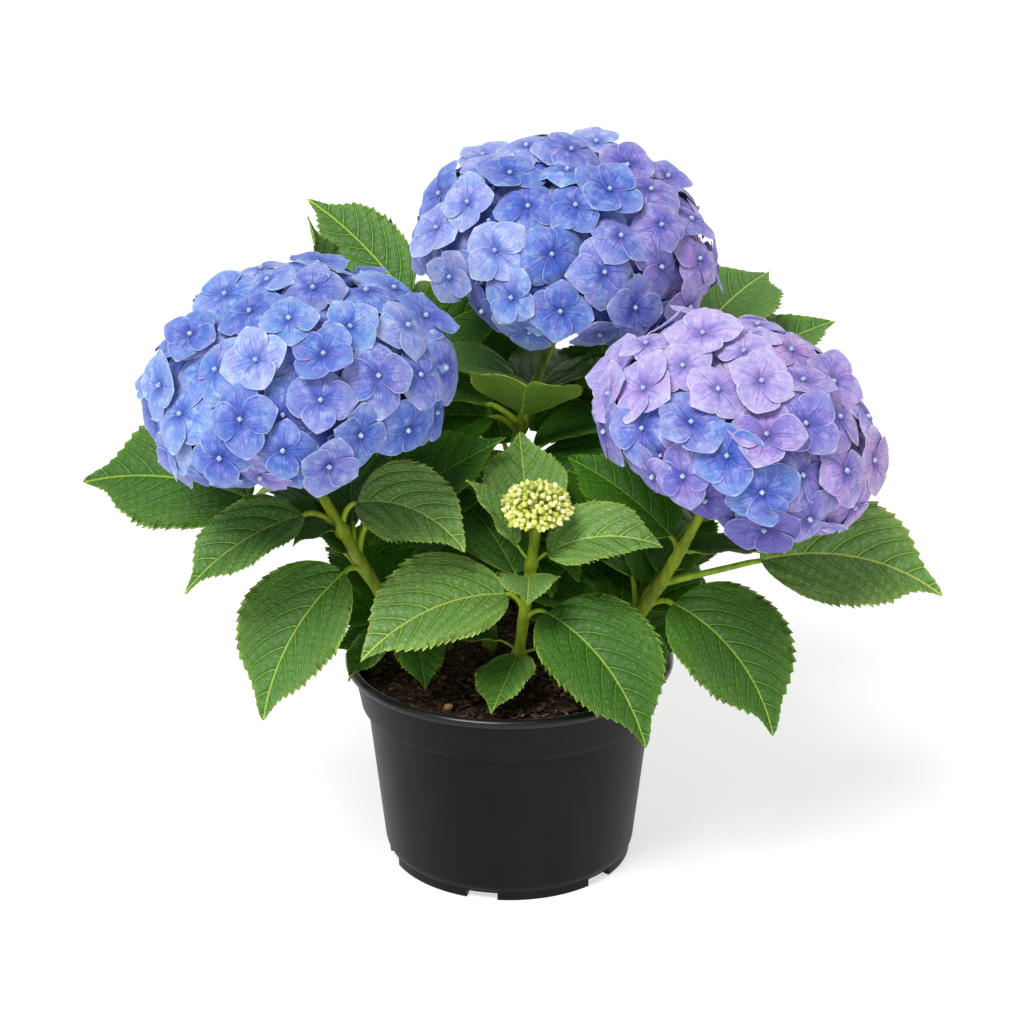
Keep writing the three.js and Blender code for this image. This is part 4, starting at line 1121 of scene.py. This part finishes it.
# The buds that show, then a deeper layer: how many, and how far they lie under the dome.
for layer, count, sink in ((0, 190, -1.2), (1, 90, -4.2)):
    for i, polar, turn in spiral(count, math.radians(112), layer * 1.3):
        at, out = dome_point(BUDS, axes, polar + rng.normal(0, 0.04), turn + rng.normal(0, 0.06),
                             sink + rng.uniform(-1.2, 1.2))
        out = unit(out + rng.normal(0, 0.22, 3))
        x = unit(np.cross([0.31, 0.83, 0.2], out))
        size = rng.uniform(1.1, 1.6)
        shape = bud_points * [size, size, size * rng.uniform(0.7, 1.05)]
        kind = DEEP if layer else int(rng.choice([0, 0, 1, 1, DEEP]))
        cluster.add(shape @ np.stack([x, np.cross(out, x), out]) + at, bud_faces, kind)
        line = bow(at - out * 7 * MM, at, out, 3 * MM, 3)
        cluster.add(*tube(line, np.array([0.6, 0.6, 0.7]) * MM, 5), DEEP)
buds = cluster.piece("green_buds", bud_finishes)
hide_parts("head_buds")

# ---------------------------------------------------------------------------------------------
# Stage. A plain pale floor, soft lights above and in front, and the camera.
# ---------------------------------------------------------------------------------------------
start_piece()
bpy.ops.mesh.primitive_plane_add(size=30, location=(0, 0, 0))
floor = bpy.context.object
floor.name = "floor"
paper = Finish("pale_floor", {"Base Color": (0.5, 0.5, 0.5, 1), "Roughness": 0.9, "Specular IOR Level": 0.1,
                              "Emission Color": (1, 1, 1, 1), "Emission Strength": 0.62})
paper.cover(floor)

world = bpy.data.worlds.new("studio")
bpy.context.scene.world = world
world.use_nodes = True
tree = world.node_tree
lit = tree.nodes["Background"].inputs
lit["Color"].default_value = (1, 1, 1, 1)
rise = tree.nodes.new("ShaderNodeMapRange")
height = tree.nodes.new("ShaderNodeSeparateXYZ")
tree.links.new(tree.nodes.new("ShaderNodeTexCoord").outputs["Generated"], height.inputs[0])
tree.links.new(height.outputs["Z"], rise.inputs["Value"])
# Brightest along the horizon and softer overhead, like the walls of a white studio.
for socket, value in (("From Min", 0.02), ("From Max", 0.5), ("To Min", 0.82), ("To Max", 0.42)):
    rise.inputs[socket].default_value = value
tree.links.new(rise.outputs["Result"], lit["Strength"])

# Each lamp: where it shines from, how soft it is in degrees, and its power.
for name, where, soft, power in (("key", (-0.6, -0.9, 1.55), 28, 2.6), ("back", (0.7, 1.2, 0.9), 60, 0.3)):
    bpy.ops.object.light_add(type="SUN", location=where)
    lamp = bpy.context.object
    lamp.name = name
    lamp.data.angle, lamp.data.energy = math.radians(soft), power
    lamp.rotation_euler = (-Vector(where)).to_track_quat("-Z", "Y").to_euler()

DISTANCE, ELEVATION, LENS, SENSOR = 1.45, math.radians(21), 90, 36
aim = Vector((1.5, 0, 210)) * MM
bpy.ops.object.camera_add(location=aim + DISTANCE * Vector((0, -math.cos(ELEVATION), math.sin(ELEVATION))))
camera = bpy.context.object
camera.name = "camera"
camera.data.lens, camera.data.sensor_width = LENS, SENSOR
camera.rotation_euler = (math.pi / 2 - ELEVATION, 0, 0)
bpy.context.scene.camera = camera
bpy.context.scene.view_settings.view_transform = "Standard"
